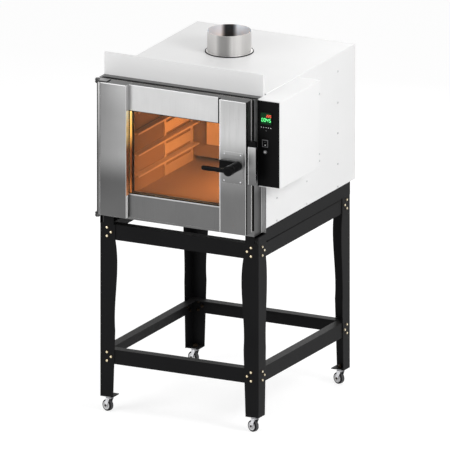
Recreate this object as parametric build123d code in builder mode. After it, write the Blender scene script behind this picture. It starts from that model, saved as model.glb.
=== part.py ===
from build123d import *
import os
from math import asin, cos, degrees, radians, sin

# Convection oven on a castor stand, all sizes in millimetres.
# The front looks along -Y, Z is up, and the origin is on the floor at the middle of the whole object.

os.makedirs("parts", exist_ok=True)

# Sheet thicknesses
leg_sheet = 2.5
beam_sheet = 2.0
casing_sheet = 1.5
steel_sheet = 1.5
glass_thickness = 4.0

# Fits
sheet_gap = 0.4
shaft_gap = 0.05
hole_gap = 0.1
moving_gap = 0.3
button_gap = 0.1

# Castors
castor_height = 56.0
wheel_radius = 20.0
wheel_width = 17.0
castor_trail = 8.0
castor_angle = -19.0
fork_sheet = 2.0
fork_width = 16.0
wheel_side_gap = 1.0
stud_radius = 5.0
race_radius = 13.0
race_height = 6.0
rivet_radius = 4.0
rivet_head = 2.5
axle_radius = 3.0
axle_head = 1.6

# Stand
stand_width = 600.0
stand_depth = 685.0
leg_height = 610.0
leg_top_width = 57.5
leg_waist_width = 56.5
leg_bulge_width = 64.5
leg_shoulder_width = 60.6
leg_foot_width = 49.0
leg_waist_height = 236.0
leg_shoulder_height = 388.0
leg_bulge_height = 475.0
foot_plate = 3.0
foot_plate_depth = 45.0
upper_beam_height = 54.0
lower_beam_height = 51.0
lower_beam_level = 118.0
beam_flange = 32.0
rail_height = 45.0
rail_width = 50.0
rail_nose_height = 26.0
rail_lip = 9.0
bolt_radius = 3.0
bolt_head_flats = 10.0
bolt_head_height = 4.0
nut_height = 5.0
bolt_end = 2.0
bolt_near = 27.0
bolt_far = 42.0
bolt_rise = 15.0

# Casing
cabinet_setback = 58.0
cabinet_depth = 665.0
cabinet_height = 475.0
casing_return = 15.0
casing_fold = 3.0
tray_lip = 20.0

# Front frame, hood and sign
frame_width = 571.0
frame_drop = 17.0
frame_top_drop = 7.0
frame_lead = 2.0
frame_fold = 1.5
hood_overhang = 3.0
sign_setback = 39.0
sign_height = 77.5
sign_return = 10.0

# Cavity
cavity_width = 410.0
cavity_bottom = 55.0
cavity_height = 365.0
cavity_depth = 585.0
insulation_back = 30.0
baffle_depth = 515.0
baffle_gap_bottom = 15.0
baffle_gap_top = 13.0
guard_width = 294.0
guard_height = 272.0
guard_bottom = 66.0
guard_raise = 20.0
guard_inlet_radius = 82.0
inlet_slot_width = 7.0
inlet_rings = 4
inlet_rib = 6.0
inlet_rib_width = 12.0

# Tray racks
rack_front = 50.0
rack_length = 453.0
rack_post_width = 14.0
rack_post_sheet = 2.0
rack_foot = 5.0
rack_head = 30.0
runner_width = 27.0
runner_sheet = 1.5
runner_lip = 6.0
runner_first = 67.0
runner_pitch = 75.3
runner_count = 4
guide_drop = 31.0
guide_height = 35.0
guide_front = 291.0

# Fan, motor and heater
fan_radius = 100.0
fan_depth = 38.0
fan_front = 529.0
fan_plate = 2.0
fan_blades = 12
fan_blade_root = 58.0
fan_hub_radius = 16.0
fan_shaft_radius = 5.0
motor_radius = 55.0
motor_length = 82.0
motor_flange = 132.0
motor_flange_sheet = 3.0
standoff_radius = 5.0
standoff_spacing = 108.0
heater_radius = 124.0
heater_tube = 4.0
heater_leg_radius = 4.8
heater_turns = 2
heater_pitch = 11.0
heater_front = 540.0
heater_leg_spacing = 26.0
heater_leg_reach = 54.0

# Lamp
lamp_radius = 22.0
lamp_lens_radius = 28.0
lamp_lens_depth = 7.0
lamp_depth = 110.0
lamp_length = 42.0
lamp_drop = 33.0

# Flue
flue_x = 260.0
flue_y = 453.0
flue_radius = 75.0
flue_wall = 1.2
flue_height = 74.0
flue_ring_width = 5.0
flue_ring_height = 3.0
vent_radius = 62.0

# Door
door_width = 562.8
door_height = 468.0
door_rise = 2.0
door_thickness = 46.0
door_gap = 9.0
left_stile_width = 109.0
right_stile_width = 100.0
panel_recess = 18.6
upper_rail_height = 90.5
lower_rail_height = 79.5
door_fold = 2.0
glass_overlap = 8.0
pane_lip = 8.0
gasket_inset = 8.0
gasket_width = 14.0

# Hinges
hinge_axis_out = 10.6
hinge_axis_back = 23.0
hinge_pin_radius = 4.0
hinge_lug_radius = 9.0
hinge_lug_sheet = 4.0
hinge_leaf_sheet = 3.0
hinge_leaf_reach = 42.0
hinge_leaf_depth = 32.0
hinge_collar_radius = 7.0
hinge_collar_height = 4.0
hinge_pin_head = 3.0
hinge_base_height = 36.0
hinge_base_depth = 40.0

# Handle and latch
plate_width = 80.0
plate_height = 111.0
plate_sheet = 2.0
plate_inset = 10.5
plate_rise = 177.0
plate_corner = 5.0
plate_screw_inset = 9.0
handle_inset = 20.0
handle_rise = 242.0
base_height = 34.0
base_depth = 12.0
base_edge = 3.0
hub_radius = 16.5
hub_depth = 40.0
boss_radius = 17.5
boss_depth = 23.0
boss_clear = 1.0
lever_length = 102.0
lever_height = 16.5
lever_depth = 12.0
lever_edge = 4.0
lever_setback = 1.0
spindle_radius = 5.0
spindle_hole_gap = 0.5
spindle_reach = 20.0
crank_sheet = 5.0
crank_radius = 12.0
crank_pin_radius = 3.0
crank_width = 12.0
crank_slack = 3.5
bolt_bar_depth = 12.0
bolt_bar_height = 10.0
bolt_link_depth = 6.0
latch_reach = 3.5
keeper_sheet = 3.0
keeper_depth = 62.0
keeper_lead = 48.0
keeper_flange = 29.5
keeper_rise = 178.0
keeper_height = 134.0
keeper_window = 14.0
switch_height = 20.0
switch_width = 27.5
switch_depth = 12.0

# Control box
control_width = 85.0
control_depth = 299.0
control_height = 307.0
control_lead = 5.0
control_drop = 3.0
control_wall = 3.0
control_ledge = 5.0
panel_sheet = 2.0
display_size = 48.0
display_bezel = 3.0
display_body = 44.6
display_length = 52.0
display_rise = 243.0
controls_in = 32.0
key_radius = 2.2
key_proud = 0.9
key_pitch = 9.0
key_count = 5
key_row_drop = 32.0
lone_key_drop = 43.0
key_flange = 1.2
key_flange_sheet = 1.0
rocker_width = 22.0
rocker_height = 30.0
rocker_drop = 88.0
rocker_shift = -3.0
rocker_bezel = 2.5
rocker_bezel_proud = 2.0
rocker_depth = 8.0
rocker_proud = 3.6
rocker_tilt = 8.0
push_radius = 6.5
push_drop = 118.0
push_shift = -3.0
push_proud = 4.0
push_collar = 2.0
push_collar_proud = 1.2

# Screws
screw_head_radius = 3.8
screw_head_height = 1.8
screw_radius = 2.0
screw_length = 9.0
plate_screw_radius = 3.2
low_screw_row = 6.0
mid_screw_row = 86.0
rear_screw_rows = (194.0, 302.0, 412.0)
screw_columns = (80.0, 304.0, 535.0)
box_screw_back = 6.5
box_screw_rows = (24.0, 48.0, 260.0)
back_screw_inset = 8.0

# Cable gland and louvres
gland_x = 540.0
gland_rise = 45.0
gland_radius = 15.0
gland_reach = 24.0
gland_bore = 7.0
gland_neck = 10.0
gland_nut_height = 6.0
louvre_width = 90.0
louvre_height = 5.0
louvre_pitch = 14.0
louvre_rows = 9
louvre_columns = 3
louvre_spacing = 130.0

# Where the main faces lie, from the sizes above
handle_reach = plate_sheet + base_depth + hub_depth + boss_clear + boss_depth
front_reach = frame_lead + door_gap + door_thickness + handle_reach
back_reach = cabinet_setback + cabinet_depth + gland_reach
overall_width = bolt_head_height + stand_width + control_width + screw_head_height

x_left = -overall_width / 2 + bolt_head_height
x_right = x_left + stand_width
x_middle = x_left + stand_width / 2
y_front = (front_reach - back_reach) / 2
y_back = y_front + stand_depth

leg_bottom = castor_height
leg_top = leg_bottom + leg_height
cabinet_bottom = leg_top + rail_height
cabinet_top = cabinet_bottom + cabinet_height
cabinet_front = y_front + cabinet_setback
cabinet_back = cabinet_front + cabinet_depth
panel_front = cabinet_back - casing_sheet

frame_left = x_middle - frame_width / 2
frame_right = x_middle + frame_width / 2
frame_front = y_front - frame_lead
frame_bottom = cabinet_bottom - frame_drop
frame_top = cabinet_top - frame_top_drop
frame_plate_back = frame_front + steel_sheet

cavity_left = x_middle - cavity_width / 2
cavity_right = x_middle + cavity_width / 2
cavity_floor = cabinet_bottom + cavity_bottom
cavity_roof = cavity_floor + cavity_height
cavity_back = y_front + cavity_depth
baffle_front = y_front + baffle_depth
fan_z = cavity_floor + guard_bottom + guard_height / 2

door_left = x_middle - door_width / 2
door_right = x_middle + door_width / 2
door_bottom = cabinet_bottom + door_rise
door_top = door_bottom + door_height
door_back = frame_front - door_gap
door_front = door_back - door_thickness
door_pan_front = door_back - steel_sheet
stile_left_inner = door_left + left_stile_width
stile_right_inner = door_right - right_stile_width
recess_front = door_front + panel_recess
window_bottom = door_bottom + lower_rail_height
window_top = door_top - upper_rail_height

hinge_x = door_left - hinge_axis_out
hinge_y = door_front + hinge_axis_back

plate_right = door_right - plate_inset
plate_left = plate_right - plate_width
plate_bottom = door_bottom + plate_rise
plate_front = door_front - plate_sheet
handle_x = plate_right - handle_inset
handle_z = door_bottom + handle_rise
boss_back = plate_front - base_depth - hub_depth - boss_clear
boss_front = boss_back - boss_depth
spindle_end = door_front + spindle_reach
crank_back = spindle_end + crank_sheet

control_left = x_right
control_right = x_right + control_width
control_front = y_front - control_lead
control_back = control_front + control_depth
control_top = cabinet_top - control_drop
control_bottom = control_top - control_height
controls_x = control_left + controls_in
display_z = control_bottom + display_rise
panel_back = control_front + panel_sheet

flue_place = (x_left + flue_x, y_front + flue_y)
motor_front = cavity_back + steel_sheet + insulation_back


def block(low, high, mode=Mode.ADD):
    """Adds or cuts a block between two opposite corners."""
    size = Vector(*high) - Vector(*low)
    with Locations((Vector(*low) + Vector(*high)) / 2):
        Box(size.X, size.Y, size.Z, mode=mode)


def rod(start, direction, radius, length, mode=Mode.ADD):
    """Adds or cuts a round bar that starts at a point and runs in a direction."""
    with Locations(Plane(origin=start, z_dir=direction)):
        Cylinder(radius, length, align=(Align.CENTER, Align.CENTER, Align.MIN), mode=mode)


def hexagon(start, direction, flats, height, bore=0.0):
    """Adds a hexagonal head or nut, with a bore if it is a nut."""
    with BuildSketch(Plane(origin=start, z_dir=direction)) as outline:
        RegularPolygon(flats / 2, 6, major_radius=False)
        if bore:
            Circle(bore, mode=Mode.SUBTRACT)
    extrude(outline.sketch, amount=height)


def pan_screw(start, direction, head_radius):
    """Adds a round-headed screw, its head on the face where it starts and its shank behind."""
    into = Vector(*direction) * -1
    with BuildSketch(Plane(origin=start, z_dir=direction)) as head:
        Circle(head_radius)
    extrude(head.sketch, amount=screw_head_height, taper=25)
    rod(start, into, screw_radius, screw_length)


def tube_ring(low, high, wall):
    """Adds a rectangular frame that runs round an opening, seen along Y."""
    block(low, high)
    inner_low = (low[0] + wall, low[1], low[2] + wall)
    inner_high = (high[0] - wall, high[1], high[2] - wall)
    block(inner_low, inner_high, Mode.SUBTRACT)


# Stand: each corner with the directions that point inwards
corners = {
    "front_left": (x_left, y_front, 1, 1),
    "front_right": (x_right, y_front, -1, 1),
    "back_left": (x_left, y_back, 1, -1),
    "back_right": (x_right, y_back, -1, -1),
}
upper_beam_bottom = leg_top - upper_beam_height
lower_beam_bottom = leg_bottom + lower_beam_level
castor_inset_x = leg_foot_width / 2
castor_inset_y = foot_plate_depth / 2


def bolt_spots(beam_bottom, beam_height):
    """Gives each bolt's distance from the leg's corner and its height, at one beam's end."""
    middle = beam_bottom + beam_height / 2
    return [(bolt_near, middle + bolt_rise), (bolt_far, middle), (bolt_near, middle - bolt_rise)]


beam_levels = ((upper_beam_bottom, upper_beam_height), (lower_beam_bottom, lower_beam_height))
leg_bolts = bolt_spots(*beam_levels[0]) + bolt_spots(*beam_levels[1])


def cut_bolt_holes(depth):
    """Cuts every bolt hole of the stand, from the outer faces inwards."""
    for x, y, sx, sy in corners.values():
        for away, z in leg_bolts:
            rod((x + sx * away, y, z), (0, sy, 0), bolt_radius + hole_gap, depth, Mode.SUBTRACT)
            rod((x, y + sy * away, z), (sx, 0, 0), bolt_radius + hole_gap, depth, Mode.SUBTRACT)


# Legs: two flanges with a gently bulging edge, and a foot plate that closes the angle
for corner, (x, y, sx, sy) in corners.items():
    front_flange = (Plane(origin=(x, y, leg_bottom), x_dir=(sx, 0, 0), z_dir=(0, -sx, 0)), (0, sy, 0))
    side_flange = (Plane(origin=(x, y, leg_bottom), x_dir=(0, sy, 0), z_dir=(sy, 0, 0)), (sx, 0, 0))
    waist = (leg_waist_width, leg_waist_height)
    shoulder = (leg_shoulder_width, leg_shoulder_height)
    bulge = (leg_bulge_width, leg_bulge_height)
    neck = (leg_top_width, leg_height - upper_beam_height)
    with BuildPart() as leg:
        for flange_plane, sheet_way in (front_flange, side_flange):
            with BuildSketch(flange_plane):
                with BuildLine():
                    Polyline(neck, (leg_top_width, leg_height), (0, leg_height), (0, 0), (leg_foot_width, 0), waist)
                    Spline(waist, shoulder, bulge, neck)
                make_face()
            extrude(amount=leg_sheet, dir=sheet_way)
        corner_edges = leg.edges().filter_by(Axis.Z)
        fillet(corner_edges.sort_by_distance((x, y, leg_bottom + leg_height / 2))[0], leg_sheet * 0.9)
        plate_x = sorted((x + sx * leg_sheet, x + sx * leg_foot_width))
        plate_y = sorted((y + sy * leg_sheet, y + sy * foot_plate_depth))
        block((plate_x[0], plate_y[0], leg_bottom), (plate_x[1], plate_y[1], leg_bottom + foot_plate))
        stud_place = (x + sx * castor_inset_x, y + sy * castor_inset_y, leg_bottom)
        rod(stud_place, (0, 0, 1), stud_radius + hole_gap, foot_plate, Mode.SUBTRACT)
        cut_bolt_holes(leg_sheet)
    leg.part.label = f"leg_{corner}"
    export_step(leg.part, f"parts/leg_{corner}.step")

# Cross beams: front and back angles bolted inside the legs
with BuildPart() as cross_beams:
    for y, sy in ((y_front, 1), (y_back, -1)):
        for bottom, height in beam_levels:
            web = sorted((y + sy * leg_sheet, y + sy * (leg_sheet + beam_sheet)))
            flange = sorted((y + sy * leg_sheet, y + sy * (leg_sheet + beam_flange)))
            low_x = x_left + leg_sheet + sheet_gap
            high_x = x_right - leg_sheet - sheet_gap
            block((low_x, web[0], bottom), (high_x, web[1], bottom + height))
            block((low_x, flange[0], bottom + height - beam_sheet), (high_x, flange[1], bottom + height))
    cut_bolt_holes(leg_sheet + beam_sheet)
cross_beams.part.label = "cross_beams"
export_step(cross_beams.part, "parts/cross_beams.step")

# Side beams: between the cross beams, their flanges cut back at the corners
with BuildPart() as side_beams:
    for x, sx in ((x_left, 1), (x_right, -1)):
        for bottom, height in beam_levels:
            web = sorted((x + sx * leg_sheet, x + sx * (leg_sheet + beam_sheet)))
            flange = sorted((x + sx * leg_sheet, x + sx * (leg_sheet + beam_flange)))
            web_inset = leg_sheet + beam_sheet + sheet_gap
            flange_inset = leg_sheet + beam_flange + sheet_gap
            web_ends = (y_front + web_inset, y_back - web_inset)
            flange_ends = (y_front + flange_inset, y_back - flange_inset)
            flange_bottom = bottom + height - beam_sheet
            block((web[0], web_ends[0], bottom), (web[1], web_ends[1], flange_bottom))
            block((web[0], flange_ends[0], bottom), (web[1], flange_ends[1], bottom + height))
            block((flange[0], flange_ends[0], flange_bottom), (flange[1], flange_ends[1], bottom + height))
    cut_bolt_holes(leg_sheet + beam_sheet)
side_beams.part.label = "side_beams"
export_step(side_beams.part, "parts/side_beams.step")

# Support rails: channels open inwards, cut low at the front under the front frame, with an end plate that meets it
with BuildPart() as support_rails:
    for x, sx in ((x_left, 1), (x_right, -1)):
        web = sorted((x, x + sx * beam_sheet))
        shelf = sorted((x, x + sx * rail_width))
        lip = sorted((x + sx * (rail_width - beam_sheet), x + sx * rail_width))
        end_plate = sorted((x + sx * (x_right - frame_right + sheet_gap), x + sx * rail_width))
        rear_start = cabinet_front + sheet_gap
        block((web[0], y_front, leg_top), (web[1], y_back, leg_top + rail_nose_height))
        block((web[0], rear_start, leg_top), (web[1], y_back, cabinet_bottom))
        block((shelf[0], y_front, leg_top), (shelf[1], y_back, leg_top + beam_sheet))
        block((lip[0], y_front, leg_top), (lip[1], y_back, leg_top + rail_lip))
        block((end_plate[0], y_front, leg_top), (end_plate[1], y_front + beam_sheet, frame_bottom - sheet_gap))
        block((shelf[0], rear_start, cabinet_bottom - beam_sheet), (shelf[1], y_back, cabinet_bottom))
support_rails.part.label = "support_rails"
export_step(support_rails.part, "parts/support_rails.step")

# One hex bolt and one nut, pointing along +Z, which the stand repeats
bolt_grip = leg_sheet + beam_sheet
with BuildPart() as hex_bolt:
    hexagon((0, 0, 0), (0, 0, -1), bolt_head_flats, bolt_head_height)
    rod((0, 0, 0), (0, 0, 1), bolt_radius, bolt_grip + nut_height + bolt_end)
with BuildPart() as hex_nut:
    hexagon((0, 0, bolt_grip), (0, 0, 1), bolt_head_flats, nut_height, bolt_radius + shaft_gap)
bolt_places = []
for x, y, sx, sy in corners.values():
    for away, z in leg_bolts:
        bolt_places.append(Plane(origin=(x + sx * away, y, z), z_dir=(0, sy, 0)).location)
        bolt_places.append(Plane(origin=(x, y + sy * away, z), z_dir=(sx, 0, 0)).location)

# Castors: one stud, fork and wheel, each swivelled alike
castor_way = Vector(cos(radians(castor_angle)), sin(radians(castor_angle)), 0)
axle_way = Vector(-castor_way.Y, castor_way.X, 0)
fork_top = leg_bottom - race_height - moving_gap
stud_nut_height = 8.0
stud_end = 2.0
cheek_offset = wheel_width / 2 + wheel_side_gap

with BuildPart() as castor_stud:
    rod((0, 0, leg_bottom - race_height), (0, 0, 1), race_radius, race_height)
    rod((0, 0, leg_bottom), (0, 0, 1), stud_radius, foot_plate + stud_nut_height + stud_end)
    rivet_bottom = fork_top - fork_sheet - moving_gap - rivet_head
    rod((0, 0, rivet_bottom), (0, 0, 1), rivet_radius, leg_bottom - race_height - rivet_bottom)
    rod((0, 0, rivet_bottom), (0, 0, 1), rivet_radius * 1.6, rivet_head)
with BuildPart() as stud_nut:
    hexagon((0, 0, leg_bottom + foot_plate), (0, 0, 1), stud_radius * 3.4, stud_nut_height, stud_radius + shaft_gap)
castor_spots = {
    name: Vector(x + sx * castor_inset_x, y + sy * castor_inset_y, 0) for name, (x, y, sx, sy) in corners.items()
}

with BuildPart() as stand_bolts:
    with Locations(*bolt_places):
        add(hex_bolt.part)
    with Locations(*castor_spots.values()):
        add(castor_stud.part)
stand_bolts.part.label = "stand_bolts"
export_step(stand_bolts.part, "parts/stand_bolts.step")

with BuildPart() as stand_nuts:
    with Locations(*bolt_places):
        add(hex_nut.part)
    with Locations(*castor_spots.values()):
        add(stud_nut.part)
stand_nuts.part.label = "stand_nuts"
export_step(stand_nuts.part, "parts/stand_nuts.step")

# Castor forks and wheels, about the stud at each leg
for corner, spot in castor_spots.items():
    hub = spot - castor_way * castor_trail + Vector(0, 0, wheel_radius)
    with BuildPart() as fork:
        with BuildSketch(Plane(origin=spot + Vector(0, 0, fork_top - fork_sheet), x_dir=castor_way, z_dir=(0, 0, 1))):
            Circle(race_radius)
            Rectangle(fork_width, 2 * (cheek_offset + fork_sheet))
        extrude(amount=fork_sheet)
        rod(spot + Vector(0, 0, fork_top - fork_sheet), (0, 0, 1), rivet_radius + shaft_gap, fork_sheet, Mode.SUBTRACT)
        for side in (1, -1):
            cheek_plane = Plane(origin=hub + axle_way * side * cheek_offset, x_dir=castor_way, z_dir=axle_way * -1)
            with BuildSketch(cheek_plane):
                Circle(2 * axle_radius + 1)
                with Locations((castor_trail, fork_top - wheel_radius - fork_sheet / 2)):
                    Rectangle(fork_width, fork_sheet)
                make_hull()
            extrude(amount=fork_sheet, dir=axle_way * side)
        half_axle = cheek_offset + fork_sheet + axle_head
        rod(hub - axle_way * half_axle, axle_way, axle_radius, 2 * half_axle)
        for side in (1, -1):
            head_start = hub + axle_way * side * (cheek_offset + fork_sheet)
            rod(head_start, axle_way * side, axle_radius * 1.6, axle_head)
    fork.part.label = f"fork_{corner}"
    export_step(fork.part, f"parts/fork_{corner}.step")

    with BuildPart() as wheel:
        with BuildSketch(Plane(origin=hub, x_dir=castor_way, z_dir=axle_way * -1)) as wheel_face:
            Circle(wheel_radius)
        extrude(amount=wheel_width / 2, both=True)
        fillet(wheel.edges().filter_by(GeomType.CIRCLE), wheel_width * 0.2)
        for side in (1, -1):
            dish_start = hub + axle_way * side * (wheel_width / 2)
            rod(dish_start, axle_way * -side, wheel_radius * 0.62, wheel_side_gap * 2, Mode.SUBTRACT)
            rod(dish_start - axle_way * side * wheel_side_gap * 2, axle_way * side, axle_radius * 2, wheel_side_gap * 2)
        rod(hub - axle_way * wheel_width, axle_way, axle_radius + shaft_gap, 2 * wheel_width, Mode.SUBTRACT)
    wheel.part.label = f"wheel_{corner}"
    export_step(wheel.part, f"parts/wheel_{corner}.step")

# Screw places of the casing: a point on the outer face and the direction that the head faces
column_depths = [cabinet_front + column for column in screw_columns]
side_spots = [(y, cabinet_bottom + row) for row in (low_screw_row, mid_screw_row) for y in column_depths]
side_spots += [(column_depths[-1], cabinet_bottom + row) for row in rear_screw_rows]
casing_screws = [((x_right, y, z), (1, 0, 0)) for y, z in side_spots]
casing_screws += [((x_left, y, z), (-1, 0, 0)) for y, z in side_spots]
back_rows = [cabinet_bottom + cabinet_height * share for share in (0.08, 0.5, 0.92)]
back_screws = [
    ((x, cabinet_back, z), (0, 1, 0)) for x in (x_left + back_screw_inset, x_right - back_screw_inset) for z in back_rows
]
control_screws = [
    ((control_right, control_back - box_screw_back, control_bottom + row), (1, 0, 0)) for row in box_screw_rows
]


def cut_screw_holes(screws, radius=screw_radius + hole_gap):
    """Cuts the clearance holes of a list of screws."""
    for start, direction in screws:
        inward = Vector(*direction) * -1
        rod(start, inward, radius, screw_length, Mode.SUBTRACT)


# Casing: one bent sheet over the roof and both sides, with returns at its front and back edges
with BuildPart() as cabinet_shell:
    block((x_left, cabinet_front, cabinet_bottom), (x_right, panel_front, cabinet_top))
    roof_edges = cabinet_shell.edges().filter_by(Axis.Y).group_by(Axis.Z)[-1]
    fillet(roof_edges, casing_fold)
    block(
        (x_left + casing_sheet, cabinet_front + casing_sheet, cabinet_bottom),
        (x_right - casing_sheet, panel_front - casing_sheet, cabinet_top - casing_sheet),
        Mode.SUBTRACT,
    )
    block(
        (x_left + casing_sheet + casing_return, cabinet_front, cabinet_bottom),
        (x_right - casing_sheet - casing_return, panel_front, cabinet_top - casing_sheet - casing_return),
        Mode.SUBTRACT,
    )
    rod((*flue_place, cabinet_bottom), (0, 0, 1), flue_radius + hole_gap, cabinet_height, Mode.SUBTRACT)
    cut_screw_holes(casing_screws + back_screws)
cabinet_shell.part.label = "cabinet_shell"
export_step(cabinet_shell.part, "parts/cabinet_shell.step")

# Back panel with louvre slots and the hole of the cable gland
gland_place = (x_left + gland_x, cabinet_back, cabinet_bottom + gland_rise)
with BuildPart() as back_panel:
    block((x_left, panel_front, cabinet_bottom), (x_right, cabinet_back, cabinet_top))
    fillet(back_panel.edges().filter_by(Axis.Y).group_by(Axis.Z)[-1], casing_fold)
    louvre_middle = Plane(
        origin=(x_middle, cabinet_back, cabinet_bottom + cabinet_height / 2), x_dir=(-1, 0, 0), z_dir=(0, 1, 0)
    )
    with BuildSketch(louvre_middle):
        with GridLocations(louvre_spacing, louvre_pitch, louvre_columns, louvre_rows):
            SlotOverall(louvre_width, louvre_height)
    extrude(amount=-casing_sheet, mode=Mode.SUBTRACT)
    rod(gland_place, (0, -1, 0), gland_neck + hole_gap, casing_sheet, Mode.SUBTRACT)
    cut_screw_holes(back_screws)
back_panel.part.label = "back_panel"
export_step(back_panel.part, "parts/back_panel.step")

# Base tray: closes the casing from below and rests on the support rails
with BuildPart() as base_tray:
    tray_low_x = x_left + casing_sheet
    tray_high_x = x_right - casing_sheet
    tray_top = cabinet_bottom + casing_sheet
    lip_front = cabinet_front + casing_sheet
    lip_back = panel_front - casing_sheet
    block((tray_low_x, lip_front, cabinet_bottom), (tray_high_x, lip_back, tray_top))
    for x, sx in ((tray_low_x, 1), (tray_high_x, -1)):
        lip_x = sorted((x, x + sx * casing_sheet))
        block((lip_x[0], lip_front, cabinet_bottom), (lip_x[1], lip_back, tray_top + tray_lip))
    cut_screw_holes(casing_screws)
base_tray.part.label = "base_tray"
export_step(base_tray.part, "parts/base_tray.step")

# Lamp, heater and motor places in the cavity walls
lamp_place = (cavity_right, y_front + lamp_depth, cavity_roof - lamp_drop)
heater_leg_drop = (heater_radius**2 - (heater_leg_spacing / 2) ** 2) ** 0.5
heater_leg_front = y_front + heater_front - heater_tube
heater_legs = [
    (x_middle + side * heater_leg_spacing / 2, heater_leg_front, fan_z - heater_leg_drop) for side in (1, -1)
]
liner_outer_low = (cavity_left - steel_sheet, frame_plate_back, cavity_floor - steel_sheet)
liner_outer_high = (cavity_right + steel_sheet, cavity_back + steel_sheet, cavity_roof + steel_sheet)

# Cavity liner: a box open at the front, with holes for the vent, lamp, fan shaft and heater
with BuildPart() as cavity_liner:
    block(liner_outer_low, liner_outer_high)
    block(
        (cavity_left, frame_plate_back, cavity_floor),
        (cavity_right, cavity_back, cavity_roof),
        Mode.SUBTRACT,
    )
    rod((*flue_place, cavity_roof - 1), (0, 0, 1), vent_radius, steel_sheet + 2, Mode.SUBTRACT)
    rod(lamp_place, (1, 0, 0), lamp_radius + hole_gap, steel_sheet, Mode.SUBTRACT)
    rod((x_middle, cavity_back, fan_z), (0, 1, 0), fan_shaft_radius * 1.6, steel_sheet, Mode.SUBTRACT)
    for leg_start in heater_legs:
        rod(leg_start, (0, 1, 0), heater_leg_radius + hole_gap, heater_leg_reach * 2, Mode.SUBTRACT)
cavity_liner.part.label = "cavity_liner"
export_step(cavity_liner.part, "parts/cavity_liner.step")

# Insulation: a sleeve round the liner that fills the space down to the tray and up to the roof
wool = cavity_floor - steel_sheet - tray_top
standoffs = [
    (x_middle + sx * standoff_spacing / 2, cavity_back + steel_sheet, fan_z + sz * standoff_spacing / 2)
    for sx in (1, -1)
    for sz in (1, -1)
]
with BuildPart() as insulation:
    block(
        (liner_outer_low[0] - wool, cabinet_front + casing_sheet + sheet_gap, tray_top),
        (liner_outer_high[0] + wool, motor_front, cabinet_top - casing_sheet),
    )
    block(liner_outer_low, liner_outer_high, Mode.SUBTRACT)
    rod((*flue_place, cavity_roof), (0, 0, 1), flue_radius + sheet_gap, cabinet_height, Mode.SUBTRACT)
    rod(lamp_place, (1, 0, 0), lamp_radius + sheet_gap, lamp_length + 1, Mode.SUBTRACT)
    rod((x_middle, cavity_back, fan_z), (0, 1, 0), fan_shaft_radius * 2, insulation_back * 2, Mode.SUBTRACT)
    for standoff in standoffs:
        rod(standoff, (0, 1, 0), standoff_radius + sheet_gap, insulation_back, Mode.SUBTRACT)
    for leg_start in heater_legs:
        rod(leg_start, (0, 1, 0), heater_leg_radius + sheet_gap, heater_leg_reach * 2, Mode.SUBTRACT)
insulation.part.label = "insulation"
export_step(insulation.part, "parts/insulation.step")

# Front frame: a steel collar round the cavity mouth, with a flange against the casing
keeper_front = frame_front - keeper_lead
keeper_back = keeper_front + keeper_depth
keeper_bottom = door_bottom + keeper_rise
keeper_top = keeper_bottom + keeper_height
keeper_screw_y = (frame_front + keeper_back) / 2
keeper_screws = [
    ((frame_right + keeper_sheet, keeper_screw_y, keeper_bottom + keeper_height * share), (1, 0, 0))
    for share in (0.15, 0.85)
]
with BuildPart() as front_frame:
    block((frame_left, frame_front, frame_bottom), (frame_right, cabinet_front, frame_top))
    fillet(front_frame.edges().filter_by(Axis.Z).group_by(Axis.Y)[0], frame_fold)
    block(
        (frame_left + steel_sheet, frame_plate_back, frame_bottom + steel_sheet),
        (frame_right - steel_sheet, cabinet_front, frame_top - steel_sheet),
        Mode.SUBTRACT,
    )
    block((x_left, cabinet_front - steel_sheet, frame_bottom), (x_right, cabinet_front, cabinet_top - casing_fold))
    block(
        (frame_left + steel_sheet, cabinet_front - steel_sheet, frame_bottom + steel_sheet),
        (frame_right - steel_sheet, cabinet_front, frame_top - steel_sheet),
        Mode.SUBTRACT,
    )
    block(
        (cavity_left, frame_front, cavity_floor),
        (cavity_right, frame_plate_back, cavity_roof),
        Mode.SUBTRACT,
    )
    cut_screw_holes(keeper_screws)
front_frame.part.label = "front_frame"
export_step(front_frame.part, "parts/front_frame.step")

# Hood plate over the frame, and the sign panel that stands on it
hood_top = frame_top + steel_sheet
hood_ends = (x_left - hood_overhang, x_right)
with BuildPart() as hood_plate:
    block((hood_ends[0], frame_front, frame_top), (hood_ends[1], cabinet_front - steel_sheet, hood_top))
hood_plate.part.label = "hood_plate"
export_step(hood_plate.part, "parts/hood_plate.step")

sign_front = frame_front + sign_setback
with BuildPart() as sign_panel:
    block((hood_ends[0], sign_front, hood_top), (hood_ends[1], sign_front + sign_return, hood_top + sign_height))
    fillet(sign_panel.edges().filter_by(Axis.Z).group_by(Axis.Y)[0], frame_fold / 2)
    block(
        (hood_ends[0] + casing_sheet, sign_front + casing_sheet, hood_top + casing_sheet),
        (hood_ends[1] - casing_sheet, sign_front + sign_return, hood_top + sign_height - casing_sheet),
        Mode.SUBTRACT,
    )
sign_panel.part.label = "sign_panel"
export_step(sign_panel.part, "parts/sign_panel.step")

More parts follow.
